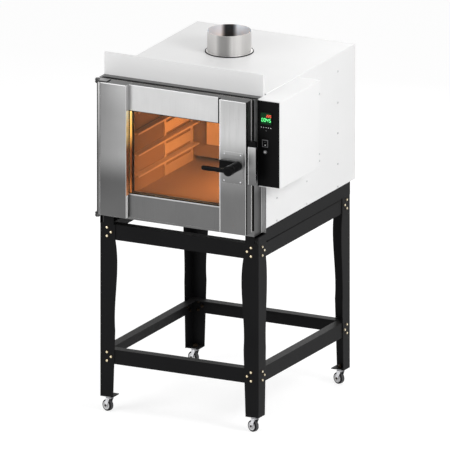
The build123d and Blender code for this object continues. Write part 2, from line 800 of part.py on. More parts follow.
# Tray racks: posts on the side walls, runners with a lip, and guides above the rear half
with BuildPart() as tray_racks:
    runner_levels = [cavity_floor + runner_first + k * runner_pitch for k in range(runner_count)]
    rack_start = y_front + rack_front
    rack_end = rack_start + rack_length
    guide_start = y_front + guide_front
    for wall, sx in ((cavity_left, 1), (cavity_right, -1)):
        post_x = sorted((wall, wall + sx * rack_post_sheet))
        web_x = sorted((wall + sx * rack_post_sheet, wall + sx * (rack_post_sheet + runner_sheet)))
        flange_x = sorted((wall + sx * rack_post_sheet, wall + sx * runner_width))
        lip_x = sorted((wall + sx * (runner_width - runner_sheet), wall + sx * runner_width))
        for post_start in (rack_start, guide_start, rack_end - rack_post_width):
            block(
                (post_x[0], post_start, cavity_floor + rack_foot),
                (post_x[1], post_start + rack_post_width, runner_levels[-1] + rack_head),
            )
        for level in runner_levels:
            guide_top = level - guide_drop
            block((flange_x[0], rack_start, level - runner_sheet), (flange_x[1], rack_end, level))
            block((web_x[0], rack_start, level - runner_lip * 2), (web_x[1], rack_end, level))
            block((lip_x[0], rack_start, level - runner_lip), (lip_x[1], rack_end, level))
            block((web_x[0], guide_start, guide_top - guide_height), (web_x[1], rack_end, guide_top))
tray_racks.part.label = "tray_racks"
export_step(tray_racks.part, "parts/tray_racks.step")

# Fan baffle: a panel across the back of the cavity with a raised guard over the fan
with BuildPart() as fan_baffle:
    baffle_low = (cavity_left, baffle_front, cavity_floor + baffle_gap_bottom)
    baffle_high = (cavity_right, baffle_front + steel_sheet, cavity_roof - baffle_gap_top)
    guard_left = x_middle - guard_width / 2
    guard_right = x_middle + guard_width / 2
    guard_low_z = cavity_floor + guard_bottom
    guard_front = baffle_front - guard_raise
    block(baffle_low, baffle_high)
    block((guard_left, guard_front, guard_low_z), (guard_right, baffle_front, guard_low_z + guard_height))
    guard_edges = fan_baffle.edges().filter_by(Axis.Z).group_by(Axis.Y)[0]
    guard_edges += fan_baffle.edges().filter_by(Axis.X).group_by(Axis.Y)[0]
    fillet(guard_edges, frame_fold)
    block(
        (guard_left + steel_sheet, guard_front + steel_sheet, guard_low_z + steel_sheet),
        (guard_right - steel_sheet, baffle_front + steel_sheet, guard_low_z + guard_height - steel_sheet),
        Mode.SUBTRACT,
    )
    with BuildSketch(Plane(origin=(x_middle, guard_front, fan_z), x_dir=(1, 0, 0), z_dir=(0, -1, 0))):
        for ring in range(inlet_rings):
            outer = guard_inlet_radius - ring * (inlet_slot_width + inlet_rib)
            Circle(outer)
            Circle(outer - inlet_slot_width, mode=Mode.SUBTRACT)
        with PolarLocations(0, inlet_rings):
            Rectangle(2 * guard_inlet_radius, inlet_rib_width, mode=Mode.SUBTRACT)
    extrude(amount=-steel_sheet, mode=Mode.SUBTRACT)
fan_baffle.part.label = "fan_baffle"
export_step(fan_baffle.part, "parts/fan_baffle.step")

# Fan wheel with its blades and shaft, turning about Y
fan_start = y_front + fan_front
motor_can_front = motor_front + motor_flange_sheet
shaft_end = motor_can_front + motor_length / 3
with BuildPart() as fan_wheel:
    rod((x_middle, fan_start + fan_depth, fan_z), (0, 1, 0), fan_radius, fan_plate)
    with BuildSketch(Plane(origin=(x_middle, fan_start + fan_depth, fan_z), x_dir=(1, 0, 0), z_dir=(0, -1, 0))):
        blade_length = fan_radius - fan_blade_root
        with PolarLocations(fan_radius - blade_length / 2, fan_blades):
            Rectangle(blade_length, fan_plate)
    extrude(amount=fan_depth)
    rod((x_middle, fan_start + fan_depth / 2, fan_z), (0, 1, 0), fan_hub_radius, fan_depth / 2 + 3 * fan_plate)
    rod((x_middle, fan_start + fan_depth / 2, fan_z), (0, 1, 0), fan_shaft_radius, shaft_end - fan_start - fan_depth / 2)
fan_wheel.part.label = "fan_wheel"
export_step(fan_wheel.part, "parts/fan_wheel.step")

# Fan motor on standoffs behind the insulation
with BuildPart() as fan_motor:
    for standoff in standoffs:
        rod(standoff, (0, 1, 0), standoff_radius, insulation_back)
    half_flange = motor_flange / 2
    block(
        (x_middle - half_flange, motor_front, fan_z - half_flange),
        (x_middle + half_flange, motor_can_front, fan_z + half_flange),
    )
    rod((x_middle, motor_can_front, fan_z), (0, 1, 0), motor_radius, motor_length)
    fillet(fan_motor.edges().filter_by(GeomType.CIRCLE).sort_by(Axis.Y)[-1], motor_radius / 8)
    shaft_bore = shaft_end - motor_front + moving_gap
    rod((x_middle, motor_front, fan_z), (0, 1, 0), fan_shaft_radius + shaft_gap, shaft_bore, Mode.SUBTRACT)
fan_motor.part.label = "fan_motor"
export_step(fan_motor.part, "parts/fan_motor.step")

# Ring heater: two turns round the fan, open at the bottom where two legs hold them in the back wall
gap_angle = asin(heater_leg_spacing / 2 / heater_radius)
with BuildPart() as ring_heater:
    for turn in range(heater_turns):
        ring_centre = (x_middle, y_front + heater_front + turn * heater_pitch, fan_z)
        outwards = (-sin(gap_angle), 0, -cos(gap_angle))
        along = (cos(gap_angle), 0, -sin(gap_angle))
        with BuildSketch(Plane(origin=ring_centre, x_dir=outwards, z_dir=along)):
            with Locations((heater_radius, 0)):
                Circle(heater_tube)
        revolve(axis=Axis(ring_centre, (0, 1, 0)), revolution_arc=360 - 2 * degrees(gap_angle))
    for leg_start in heater_legs:
        rod(leg_start, (0, 1, 0), heater_leg_radius, cavity_back - leg_start[1] + heater_leg_reach)
ring_heater.part.label = "ring_heater"
export_step(ring_heater.part, "parts/ring_heater.step")

# Lamp: a socket through the cavity wall with a domed lens inside
with BuildPart() as cavity_lamp:
    rod(lamp_place, (1, 0, 0), lamp_radius, lamp_length)
    rod(lamp_place, (-1, 0, 0), lamp_lens_radius, lamp_lens_depth)
    fillet(cavity_lamp.edges().filter_by(GeomType.CIRCLE).sort_by(Axis.X)[0], lamp_lens_depth * 0.8)
cavity_lamp.part.label = "cavity_lamp"
export_step(cavity_lamp.part, "parts/cavity_lamp.step")

# Flue collar: a thin tube from the liner through the roof, with a ring on the roof
with BuildPart() as flue_collar:
    flue_bottom = cavity_roof + steel_sheet
    flue_top = cabinet_top + flue_height
    rod((*flue_place, flue_bottom), (0, 0, 1), flue_radius, flue_top - flue_bottom)
    rod((*flue_place, cabinet_top), (0, 0, 1), flue_radius + flue_ring_width, flue_ring_height)
    rod((*flue_place, flue_bottom), (0, 0, 1), flue_radius - flue_wall, flue_top - flue_bottom, Mode.SUBTRACT)
flue_collar.part.label = "flue_collar"
export_step(flue_collar.part, "parts/flue_collar.step")

# Door gasket on the frame's face
with BuildPart() as door_gasket:
    tube_ring(
        (door_left + gasket_inset, door_back, door_bottom + gasket_inset),
        (door_right - gasket_inset, frame_front, door_top - gasket_inset),
        gasket_width,
    )
door_gasket.part.label = "door_gasket"
export_step(door_gasket.part, "parts/door_gasket.step")

# Hinge brackets: a base on the frame's left side, a lug and a pin with a collar and a head
leaf_levels = (door_top, door_bottom - hinge_leaf_sheet)
with BuildPart() as hinge_brackets:
    for leaf_bottom in leaf_levels:
        lug_top = leaf_bottom - hinge_collar_height
        lug_bottom = lug_top - hinge_lug_sheet
        leaf_top = leaf_bottom + hinge_leaf_sheet
        pin_bottom = lug_bottom - hinge_pin_head
        pin_top = leaf_top + moving_gap + hinge_pin_head
        with BuildSketch(Plane.XY.offset(lug_bottom)):
            with Locations((hinge_x, hinge_y)):
                Circle(hinge_lug_radius)
            lug_width = frame_left - hinge_x + hinge_lug_radius
            with Locations((hinge_x - hinge_lug_radius, hinge_y)):
                Rectangle(lug_width, frame_front + hinge_base_depth - hinge_y, align=Align.MIN)
        extrude(amount=hinge_lug_sheet)
        block(
            (frame_left - hinge_lug_sheet, frame_front + frame_fold, lug_top - hinge_base_height),
            (frame_left, frame_front + hinge_base_depth, lug_top),
        )
        rod((hinge_x, hinge_y, pin_bottom), (0, 0, 1), hinge_collar_radius, hinge_pin_head)
        rod((hinge_x, hinge_y, lug_top), (0, 0, 1), hinge_collar_radius, hinge_collar_height - moving_gap)
        rod((hinge_x, hinge_y, lug_top), (0, 0, 1), hinge_pin_radius, pin_top - lug_top)
        rod((hinge_x, hinge_y, leaf_top + moving_gap), (0, 0, 1), hinge_collar_radius, hinge_pin_head)
hinge_brackets.part.label = "hinge_brackets"
export_step(hinge_brackets.part, "parts/hinge_brackets.step")

# Hinge leaves: plates on top of and under the door, round the pins
with BuildPart() as hinge_leaves:
    for leaf_bottom in leaf_levels:
        with BuildSketch(Plane.XY.offset(leaf_bottom)):
            with Locations((hinge_x, hinge_y)):
                Circle(hinge_lug_radius)
            with Locations((hinge_x + hinge_leaf_reach, hinge_y)):
                Rectangle(hinge_leaf_depth, hinge_leaf_depth, align=(Align.MAX, Align.CENTER))
            make_hull()
            with Locations((hinge_x, hinge_y)):
                Circle(hinge_pin_radius + shaft_gap, mode=Mode.SUBTRACT)
        extrude(amount=hinge_leaf_sheet)
hinge_leaves.part.label = "hinge_leaves"
export_step(hinge_leaves.part, "parts/hinge_leaves.step")

# Places of the handle's screws and of the latch bolt
plate_screws = [
    ((x, plate_front, z), (0, -1, 0))
    for x in (plate_left + plate_screw_inset, plate_right - plate_screw_inset)
    for z in (plate_bottom + plate_screw_inset, plate_bottom + plate_height - plate_screw_inset)
]
latch_front = crank_back + moving_gap
latch_end = door_right + latch_reach


def make_stile(low_x, high_x):
    """Makes a door stile: a pressed steel channel, open at the back."""
    with BuildPart() as stile:
        block((low_x, door_front, door_bottom), (high_x, door_pan_front, door_top))
        fillet(stile.edges().filter_by(Axis.Z).group_by(Axis.Y)[0], door_fold)
        block(
            (low_x + steel_sheet, door_front + steel_sheet, door_bottom + steel_sheet),
            (high_x - steel_sheet, door_pan_front, door_top - steel_sheet),
            Mode.SUBTRACT,
        )
    return stile.part


with BuildPart() as door_left_stile:
    add(make_stile(door_left, stile_left_inner))
door_left_stile.part.label = "door_left_stile"
export_step(door_left_stile.part, "parts/door_left_stile.step")

with BuildPart() as door_right_stile:
    add(make_stile(stile_right_inner, door_right))
    rod((handle_x, door_front, handle_z), (0, 1, 0), spindle_radius + spindle_hole_gap, steel_sheet, Mode.SUBTRACT)
    block(
        (door_right - steel_sheet, latch_front - moving_gap, handle_z - bolt_bar_height / 2 - moving_gap),
        (door_right, latch_front + bolt_bar_depth + moving_gap, handle_z + bolt_bar_height / 2 + moving_gap),
        Mode.SUBTRACT,
    )
    cut_screw_holes(plate_screws)
door_right_stile.part.label = "door_right_stile"
export_step(door_right_stile.part, "parts/door_right_stile.step")

# Door rails: the recessed panels above and below the glass
rail_ends = (stile_left_inner + sheet_gap, stile_right_inner - sheet_gap)
pane_front = recess_front + steel_sheet
pane_back = pane_front + glass_thickness
with BuildPart() as door_rails:
    for edge, outer in ((window_top, door_top), (window_bottom, door_bottom)):
        face_z = sorted((edge, outer))
        fold_z = sorted((outer, outer + steel_sheet * (1 if edge > outer else -1)))
        block((rail_ends[0], recess_front, face_z[0]), (rail_ends[1], pane_front, face_z[1]))
        block((rail_ends[0], recess_front, fold_z[0]), (rail_ends[1], door_pan_front, fold_z[1]))
door_rails.part.label = "door_rails"
export_step(door_rails.part, "parts/door_rails.step")

# Inner pan: the back of the door, with a tunnel round the window
tunnel_low = (rail_ends[0], pane_back, window_bottom - steel_sheet)
tunnel_high = (rail_ends[1], door_pan_front, window_top + steel_sheet)
with BuildPart() as door_inner_pan:
    block((door_left, door_pan_front, door_bottom), (door_right, door_back, door_top))
    tube_ring(tunnel_low, tunnel_high, steel_sheet)
    opening_inset = steel_sheet + pane_lip
    block(
        (tunnel_low[0] + opening_inset, door_pan_front, tunnel_low[2] + opening_inset),
        (tunnel_high[0] - opening_inset, door_back, tunnel_high[2] - opening_inset),
        Mode.SUBTRACT,
    )
door_inner_pan.part.label = "door_inner_pan"
export_step(door_inner_pan.part, "parts/door_inner_pan.step")

# Door glass: an outer pane behind the rails and an inner pane in the tunnel
pane_inset = steel_sheet + sheet_gap
with BuildPart() as door_glass:
    block(
        (rail_ends[0], pane_front, window_bottom - glass_overlap),
        (rail_ends[1], pane_back, window_top + glass_overlap),
    )
    block(
        (tunnel_low[0] + pane_inset, door_pan_front - glass_thickness, tunnel_low[2] + pane_inset),
        (tunnel_high[0] - pane_inset, door_pan_front, tunnel_high[2] - pane_inset),
    )
door_glass.part.label = "door_glass"
export_step(door_glass.part, "parts/door_glass.step")

# Handle plate: a steel plate on the right stile, with a screw at each corner
with BuildPart() as handle_plate:
    block(
        (plate_left, plate_front, plate_bottom),
        (plate_right, door_front, plate_bottom + plate_height),
    )
    fillet(handle_plate.edges().filter_by(Axis.Y), plate_corner)
    rod((handle_x, plate_front, handle_z), (0, 1, 0), spindle_radius + spindle_hole_gap, plate_sheet, Mode.SUBTRACT)
    cut_screw_holes(plate_screws)
handle_plate.part.label = "handle_plate"
export_step(handle_plate.part, "parts/handle_plate.step")

with BuildPart() as door_screws:
    for start, direction in plate_screws:
        pan_screw(start, direction, plate_screw_radius)
door_screws.part.label = "door_screws"
export_step(door_screws.part, "parts/door_screws.step")


def facing_front(y):
    """Gives the plane square to Y whose middle is the handle's axis and whose normal faces the user."""
    return Plane(origin=(handle_x, y, handle_z), x_dir=(1, 0, 0), z_dir=(0, -1, 0))


# Handle base: a black oblong, round at its right end, with a long hub that carries the lever
with BuildPart() as handle_base:
    with BuildSketch(facing_front(plate_front)):
        Circle(base_height / 2)
        with Locations((plate_left - handle_x, 0)):
            Rectangle(handle_x - plate_left, base_height, align=(Align.MIN, Align.CENTER))
    extrude(amount=base_depth)
    fillet(handle_base.faces().sort_by(Axis.Y)[0].edges(), base_edge)
    hub_start = (handle_x, plate_front, handle_z)
    rod(hub_start, (0, -1, 0), hub_radius, base_depth + hub_depth)
    rod(hub_start, (0, -1, 0), spindle_radius + shaft_gap, base_depth + hub_depth, Mode.SUBTRACT)
handle_base.part.label = "handle_base"
export_step(handle_base.part, "parts/handle_base.step")

# Handle lever: boss, arm towards the hinge side, spindle and crank inside the door
with BuildPart() as lever_arm:
    with BuildSketch(facing_front(boss_front + lever_setback + lever_depth)):
        with Locations(((lever_height / 2 - lever_length) / 2, 0)):
            SlotOverall(lever_length + lever_height / 2, lever_height)
    extrude(amount=lever_depth)
    fillet(lever_arm.faces().filter_by(Axis.Y).edges(), lever_edge)
with BuildPart() as handle_lever:
    with BuildSketch(facing_front(boss_back)):
        Circle(boss_radius)
    extrude(amount=boss_depth)
    fillet(handle_lever.edges().sort_by(Axis.Y)[0], lever_edge / 2)
    add(lever_arm.part)
    rod((handle_x, boss_back, handle_z), (0, 1, 0), spindle_radius, spindle_end - boss_back)
    with BuildSketch(facing_front(crank_back)):
        Circle(crank_width / 2 + crank_pin_radius / 2)
        with Locations((crank_radius, 0)):
            Circle(crank_width / 2)
        make_hull()
    extrude(amount=crank_sheet)
    pin_end = latch_front + bolt_link_depth + moving_gap
    rod((handle_x + crank_radius, crank_back, handle_z), (0, 1, 0), crank_pin_radius, pin_end - crank_back)
handle_lever.part.label = "handle_lever"
export_step(handle_lever.part, "parts/handle_lever.step")

# Latch bolt: a link with a tall slot for the crank's pin, and a bar through the door's edge
slot_reach = crank_pin_radius + moving_gap * 2
slot_low_x = handle_x + crank_radius - slot_reach
slot_high_x = handle_x + crank_radius + slot_reach + crank_slack
slot_top = handle_z + slot_reach
slot_bottom = handle_z - crank_radius - slot_reach
link_rim = 4.0
with BuildPart() as latch_bolt:
    block(
        (slot_low_x - link_rim, latch_front, slot_bottom - link_rim),
        (slot_high_x + link_rim, latch_front + bolt_link_depth, slot_top + link_rim),
    )
    block(
        (slot_low_x, latch_front, slot_bottom),
        (slot_high_x, latch_front + bolt_link_depth, slot_top),
        Mode.SUBTRACT,
    )
    block(
        (slot_high_x, latch_front, handle_z - bolt_bar_height / 2),
        (latch_end, latch_front + bolt_bar_depth, handle_z + bolt_bar_height / 2),
    )
latch_bolt.part.label = "latch_bolt"
export_step(latch_bolt.part, "parts/latch_bolt.step")

# Latch keeper: an angle on the frame's side, with a window at the bolt's height
with BuildPart() as latch_keeper:
    block((frame_right, keeper_front, keeper_bottom), (frame_right + keeper_sheet, keeper_back, keeper_top))
    block(
        (frame_right, keeper_front, keeper_bottom),
        (frame_right + keeper_flange, keeper_front + keeper_sheet, keeper_top),
    )
    fillet(latch_keeper.edges().filter_by(Axis.Z).sort_by_distance((frame_right, keeper_front, handle_z))[0], 1.5)
    with Locations((frame_right, latch_front + bolt_bar_depth / 2, handle_z)):
        Box(4 * keeper_sheet, keeper_window, keeper_window, mode=Mode.SUBTRACT)
    cut_screw_holes(keeper_screws)
latch_keeper.part.label = "latch_keeper"
export_step(latch_keeper.part, "parts/latch_keeper.step")

# Door switch: a black block on top of the keeper
with BuildPart() as door_switch:
    block(
        (frame_right, keeper_front, keeper_top),
        (frame_right + switch_width, keeper_front + switch_depth, keeper_top + switch_height),
    )
    fillet(door_switch.edges().filter_by(Axis.Z), base_edge / 2)
door_switch.part.label = "door_switch"
export_step(door_switch.part, "parts/door_switch.step")

with BuildPart() as cabinet_screws:
    for start, direction in casing_screws + back_screws + control_screws + keeper_screws:
        pan_screw(start, direction, screw_head_radius)
cabinet_screws.part.label = "cabinet_screws"
export_step(cabinet_screws.part, "parts/cabinet_screws.step")

# Control box: a casing open at the front, with a ledge that the panel rests on
wall_low = (control_left + control_wall, control_bottom + control_wall)
wall_high = (control_right - control_wall, control_top - control_wall)
ledge_back = panel_back + casing_sheet
with BuildPart() as control_box:
    block((control_left, control_front, control_bottom), (control_right, control_back, control_top))
    outer_edges = control_box.edges().filter_by(Axis.Y).group_by(Axis.X)[-1]
    fillet(outer_edges, casing_fold)
    block((wall_low[0], control_front, wall_low[1]), (wall_high[0], panel_back, wall_high[1]), Mode.SUBTRACT)
    block((wall_low[0], ledge_back, wall_low[1]), (wall_high[0], control_back - control_wall, wall_high[1]), Mode.SUBTRACT)
    block(
        (wall_low[0] + control_ledge, panel_back, wall_low[1] + control_ledge),
        (wall_high[0] - control_ledge, ledge_back, wall_high[1] - control_ledge),
        Mode.SUBTRACT,
    )
    cut_screw_holes(control_screws)
control_box.part.label = "control_box"
export_step(control_box.part, "parts/control_box.step")

# Places on the control panel
key_places = [
    (controls_x + (k - (key_count - 1) / 2) * key_pitch, display_z - key_row_drop) for k in range(key_count)
]
key_places.append((controls_x, display_z - lone_key_drop))
rocker_place = (controls_x + rocker_shift, display_z - rocker_drop)
push_place = (controls_x + push_shift, display_z - push_drop)
rocker_pivot_y = control_front + rocker_bezel
rocker_roll = (rocker_height - 2 * rocker_bezel) / 2 - moving_gap


def on_panel(x, z):
    """Gives a plane on the control panel's front face that looks at the user."""
    return Plane(origin=(x, control_front, z), x_dir=(1, 0, 0), z_dir=(0, -1, 0))


# Control panel: a black plate with cut-outs, the rocker's bezel and the push button's collar
with BuildPart() as control_panel:
    block(
        (wall_low[0] + button_gap, control_front, wall_low[1] + button_gap),
        (wall_high[0] - button_gap, panel_back, wall_high[1] - button_gap),
    )
    with BuildSketch(on_panel(*rocker_place)):
        RectangleRounded(rocker_width, rocker_height, rocker_bezel)
    extrude(amount=rocker_bezel_proud)
    with BuildSketch(on_panel(*push_place)):
        Circle(push_radius + button_gap + push_collar)
    extrude(amount=push_collar_proud)
    through = panel_sheet + rocker_bezel_proud
    with BuildSketch(on_panel(*rocker_place).offset(rocker_bezel_proud)):
        Rectangle(rocker_width - 2 * rocker_bezel, rocker_height - 2 * rocker_bezel)
    extrude(amount=-through, mode=Mode.SUBTRACT)
    with BuildSketch(on_panel(*push_place).offset(rocker_bezel_proud)):
        Circle(push_radius + button_gap)
    extrude(amount=-through, mode=Mode.SUBTRACT)
    with BuildSketch(on_panel(controls_x, display_z)):
        Rectangle(display_body + 2 * button_gap, display_body + 2 * button_gap)
    extrude(amount=-panel_sheet, mode=Mode.SUBTRACT)
    for x, z in key_places:
        rod((x, control_front, z), (0, 1, 0), key_radius + button_gap, panel_sheet, Mode.SUBTRACT)
control_panel.part.label = "control_panel"
export_step(control_panel.part, "parts/control_panel.step")

# Display module: a square bezel on the panel with its body behind
with BuildPart() as display_module:
    with BuildSketch(on_panel(controls_x, display_z)):
        RectangleRounded(display_size, display_size, display_bezel)
    extrude(amount=display_bezel)
    bezel_edges = display_module.faces().sort_by(Axis.Y)[0].edges()
    chamfer(bezel_edges, display_bezel / 3)
    with BuildSketch(on_panel(controls_x, display_z).offset(display_bezel)):
        RectangleRounded(display_size - 3 * display_bezel, display_size - 3 * display_bezel, display_bezel / 3)
    extrude(amount=-display_bezel / 3, mode=Mode.SUBTRACT)
    with BuildSketch(on_panel(controls_x, display_z)):
        Rectangle(display_body, display_body)
    extrude(amount=-display_length)
display_module.part.label = "display_module"
export_step(display_module.part, "parts/display_module.step")

# Keys: small caps through the panel, each held behind it by a flange
for number, (x, z) in enumerate(key_places, start=1):
    with BuildPart() as key:
        flange_front = panel_back + shaft_gap
        rod((x, control_front - key_proud, z), (0, 1, 0), key_radius, flange_front - control_front + key_proud)
        fillet(key.edges().sort_by(Axis.Y)[0], key_radius / 5)
        rod((x, flange_front, z), (0, 1, 0), key_radius + key_flange, key_flange_sheet)
    key.part.label = f"key_{number}"
    export_step(key.part, f"parts/key_{number}.step")

# Rocker switch: rolls about an axis in the panel, tilted to its off side
with BuildPart() as rocker_switch:
    inward = (0, cos(radians(rocker_tilt)), sin(radians(rocker_tilt)))
    rocker_pivot = (rocker_place[0], rocker_pivot_y, rocker_place[1])
    with BuildSketch(Plane(origin=rocker_pivot, x_dir=inward, z_dir=(1, 0, 0))):
        Circle(rocker_roll)
        with Locations(((rocker_depth - rocker_proud - rocker_bezel) / 2, 0)):
            Rectangle(rocker_depth + rocker_proud + rocker_bezel, 3 * rocker_roll, mode=Mode.INTERSECT)
    extrude(amount=rocker_width / 2 - rocker_bezel - moving_gap, both=True)
rocker_switch.part.label = "rocker_switch"
export_step(rocker_switch.part, "parts/rocker_switch.step")

# Push button: a round cap in its collar, with a flange behind the panel
with BuildPart() as push_button:
    push_start = (push_place[0], control_front - push_proud, push_place[1])
    flange_front = panel_back + shaft_gap
    rod(push_start, (0, 1, 0), push_radius, flange_front - push_start[1])
    fillet(push_button.edges().sort_by(Axis.Y)[0], push_radius / 5)
    rod((push_place[0], flange_front, push_place[1]), (0, 1, 0), push_radius + key_flange, key_flange_sheet)
push_button.part.label = "push_button"
export_step(push_button.part, "parts/push_button.step")

# Cable gland: a dome outside, a neck through the back panel and a nut inside
with BuildPart() as cable_gland:
    gland_back = gland_place[1] + gland_reach
    neck_end = panel_front - gland_nut_height - gland_neck / 4
    hexagon(gland_place, (0, 1, 0), 2 * gland_radius, gland_nut_height)
    rod(gland_place, (0, 1, 0), gland_radius * 0.86, gland_reach)
    fillet(cable_gland.edges().filter_by(GeomType.CIRCLE).sort_by(Axis.Y)[-1], gland_radius / 3)
    rod((gland_place[0], neck_end, gland_place[2]), (0, 1, 0), gland_neck, gland_place[1] - neck_end)
    hexagon((gland_place[0], panel_front, gland_place[2]), (0, -1, 0), 2 * gland_radius, gland_nut_height)
    rod((gland_place[0], neck_end, gland_place[2]), (0, 1, 0), gland_bore, gland_back - neck_end, Mode.SUBTRACT)
cable_gland.part.label = "cable_gland"
export_step(cable_gland.part, "parts/cable_gland.step")
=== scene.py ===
import math

import bmesh
import bpy
from mathutils import Matrix, Vector


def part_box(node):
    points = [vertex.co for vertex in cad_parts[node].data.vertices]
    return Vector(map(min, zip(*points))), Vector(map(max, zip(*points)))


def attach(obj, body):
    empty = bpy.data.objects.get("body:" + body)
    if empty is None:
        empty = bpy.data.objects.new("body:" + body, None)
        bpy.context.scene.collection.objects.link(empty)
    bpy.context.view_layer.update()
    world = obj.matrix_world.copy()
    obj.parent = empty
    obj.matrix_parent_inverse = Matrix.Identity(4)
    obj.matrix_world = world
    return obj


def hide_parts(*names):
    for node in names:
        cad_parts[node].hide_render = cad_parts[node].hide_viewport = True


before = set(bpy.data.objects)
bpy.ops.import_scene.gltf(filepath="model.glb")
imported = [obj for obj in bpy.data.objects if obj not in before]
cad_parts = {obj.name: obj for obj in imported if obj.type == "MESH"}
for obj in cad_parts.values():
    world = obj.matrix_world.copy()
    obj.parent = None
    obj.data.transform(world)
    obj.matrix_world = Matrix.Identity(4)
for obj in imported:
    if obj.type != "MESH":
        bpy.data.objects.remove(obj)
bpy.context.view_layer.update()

scene = bpy.context.scene


# ---------------------------------------------------------------- camera, studio and lamps

CAMERA_AZIMUTH = math.radians(26.9)
CAMERA_ELEVATION = math.radians(16.5)
CAMERA_TARGET = Vector((-0.0394, 0.032, 0.609))
CAMERA_WIDTH = 1.521
CAMERA_DISTANCE = 6.0
FAR_AWAY = 30.0
WHITE = (1, 1, 1, 1)
STUDIO_LIGHT = 0.62
FLOOR_SIZE = 12.0
FLOOR_LIFT = 0.68


def middle_of(node):
    """Gives a CAD node's middle in metres."""
    low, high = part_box(node)
    return (low + high) / 2


def hold(name, data, place, way):
    """Puts a camera or a lamp at a place, looking along a direction."""
    holder = bpy.data.objects.new(name, data)
    holder.location = place
    holder.rotation_mode = "QUATERNION"
    holder.rotation_quaternion = Vector(way).to_track_quat("-Z", "Y")
    scene.collection.objects.link(holder)
    return holder


def make_camera():
    """Places the orthographic camera at the photograph's angle."""
    data = bpy.data.cameras.new("studio_camera")
    data.type = "ORTHO"
    data.ortho_scale = CAMERA_WIDTH
    data.clip_end = FAR_AWAY
    level = math.cos(CAMERA_ELEVATION)
    away = Vector((math.sin(CAMERA_AZIMUTH) * level, -math.cos(CAMERA_AZIMUTH) * level, math.sin(CAMERA_ELEVATION)))
    scene.camera = hold("studio_camera", data, CAMERA_TARGET + away * CAMERA_DISTANCE, -away)


def place_lamp(name, kind, place, way, power, **settings):
    """Adds a lamp at a place, shining along a direction."""
    lamp = bpy.data.lights.new(name, kind)
    lamp.energy = power
    for setting, value in settings.items():
        setattr(lamp, setting, value)
    return hold(name, lamp, place, way)


def neutral(level, blue=None):
    """Gives a grey, with its own blue part where it is slightly cool."""
    return level, level, level if blue is None else blue, 1


def clear_tree(owner):
    """Turns on the shader nodes of a material or world and takes out its first ones."""
    owner.use_nodes = True
    owner.node_tree.nodes.clear()
    return owner.node_tree


def join_inputs(tree, inputs, values):
    """Sets the named inputs, or links those whose value is another node's socket."""
    for label, value in values.items():
        if isinstance(value, bpy.types.NodeSocket):
            tree.links.new(value, inputs[label])
        else:
            inputs[label].default_value = value


def add_node(tree, kind, values=None, **settings):
    """Adds a shader node, sets its properties, and sets or links the inputs named in values."""
    node = tree.nodes.new("ShaderNode" + kind)
    for setting, value in settings.items():
        setattr(node, setting, value)
    join_inputs(tree, node.inputs, values or {})
    return node


def number(tree, operation, first, second=0.0):
    """Works on one or two numbers."""
    return add_node(tree, "Math", {0: first, 1: second}, operation=operation).outputs[0]


def vector(tree, operation, first, second=(0, 0, 0)):
    """Works on one or two vectors; a dot product gives a number."""
    node = add_node(tree, "VectorMath", {0: first, 1: second}, operation=operation)
    return node.outputs["Value" if operation == "DOT_PRODUCT" else "Vector"]


def parts_of(tree, place):
    """Splits a vector into its three numbers."""
    return add_node(tree, "SeparateXYZ", {0: place}).outputs


def blend(tree, share, first, second, way="MIX"):
    """Mixes two colours."""
    return add_node(tree, "Mix", {0: share, 6: first, 7: second}, data_type="RGBA", blend_type=way).outputs[2]


def ramp(tree, value, start, end, low=0.0, high=1.0, way="LINEAR"):
    """Maps a number from one range to another and holds it at the ends."""
    return add_node(tree, "MapRange", {0: value, 1: start, 2: end, 3: low, 4: high},
                    interpolation_type=way).outputs[0]


def noise(tree, place, scale, detail, roughness=0.5):
    """Gives soft random patches from 0 to 1."""
    return add_node(tree, "TexNoise", {"Vector": place, "Scale": scale, "Detail": detail,
                                       "Roughness": roughness}).outputs["Fac"]


def show_both(tree, lit, seen, output):
    """Ends a tree: the first shader for light that falls on things, the second for the camera, mirrors and glass."""
    path = add_node(tree, "LightPath").outputs
    some = number(tree, "MAXIMUM", path["Is Camera Ray"], path["Is Glossy Ray"])
    direct = number(tree, "MAXIMUM", some, path["Is Transmission Ray"])
    both = add_node(tree, "MixShader", {0: direct, 1: lit.outputs[0], 2: seen.outputs[0]})
    add_node(tree, output, {"Surface": both.outputs[0]})


def make_studio():
    """Builds the white surroundings, the pale floor and the soft lamps."""
    scene.world = bpy.data.worlds.new("studio")
    tree = clear_tree(scene.world)
    soft, white = (add_node(tree, "Background", {"Color": WHITE, "Strength": level}) for level in (STUDIO_LIGHT, 1.0))
    show_both(tree, soft, white, "OutputWorld")

    mesh = bmesh.new()
    bmesh.ops.create_grid(mesh, x_segments=2, y_segments=2, size=FLOOR_SIZE)
    data = bpy.data.meshes.new("studio_floor")
    mesh.to_mesh(data)
    mesh.free()
    floor = bpy.data.objects.new("studio_floor", data)
    scene.collection.objects.link(floor)
    material = bpy.data.materials.new("studio_floor")
    tree = clear_tree(material)
    matt = add_node(tree, "BsdfDiffuse", {"Color": neutral(0.45)})
    lift = add_node(tree, "Emission", {"Color": WHITE, "Strength": FLOOR_LIFT})
    lifted = add_node(tree, "AddShader", {0: matt.outputs[0], 1: lift.outputs[0]})
    show_both(tree, add_node(tree, "BsdfDiffuse", {"Color": neutral(0.75)}), lifted, "OutputMaterial")
    data.materials.append(material)

    for name, place, aim, size, power in (
        ("key_lamp", (-1.6, -2.8, 1.9), (0, 0, 0.8), 1.8, 34.0),
        ("roof_lamp", (0.3, 0.4, 3.2), (0, 0.1, 1.0), 1.6, 4.0),
        ("side_lamp", (2.7, -0.7, 2.4), (0.2, 0, 0.8), 1.3, 42.0),
        ("back_lamp", (-0.6, 3.2, 1.8), (0, 0.2, 0.8), 1.6, 18.0),
    ):
        place_lamp(name, "AREA", place, Vector(aim) - Vector(place), power, shape="DISK", size=size)


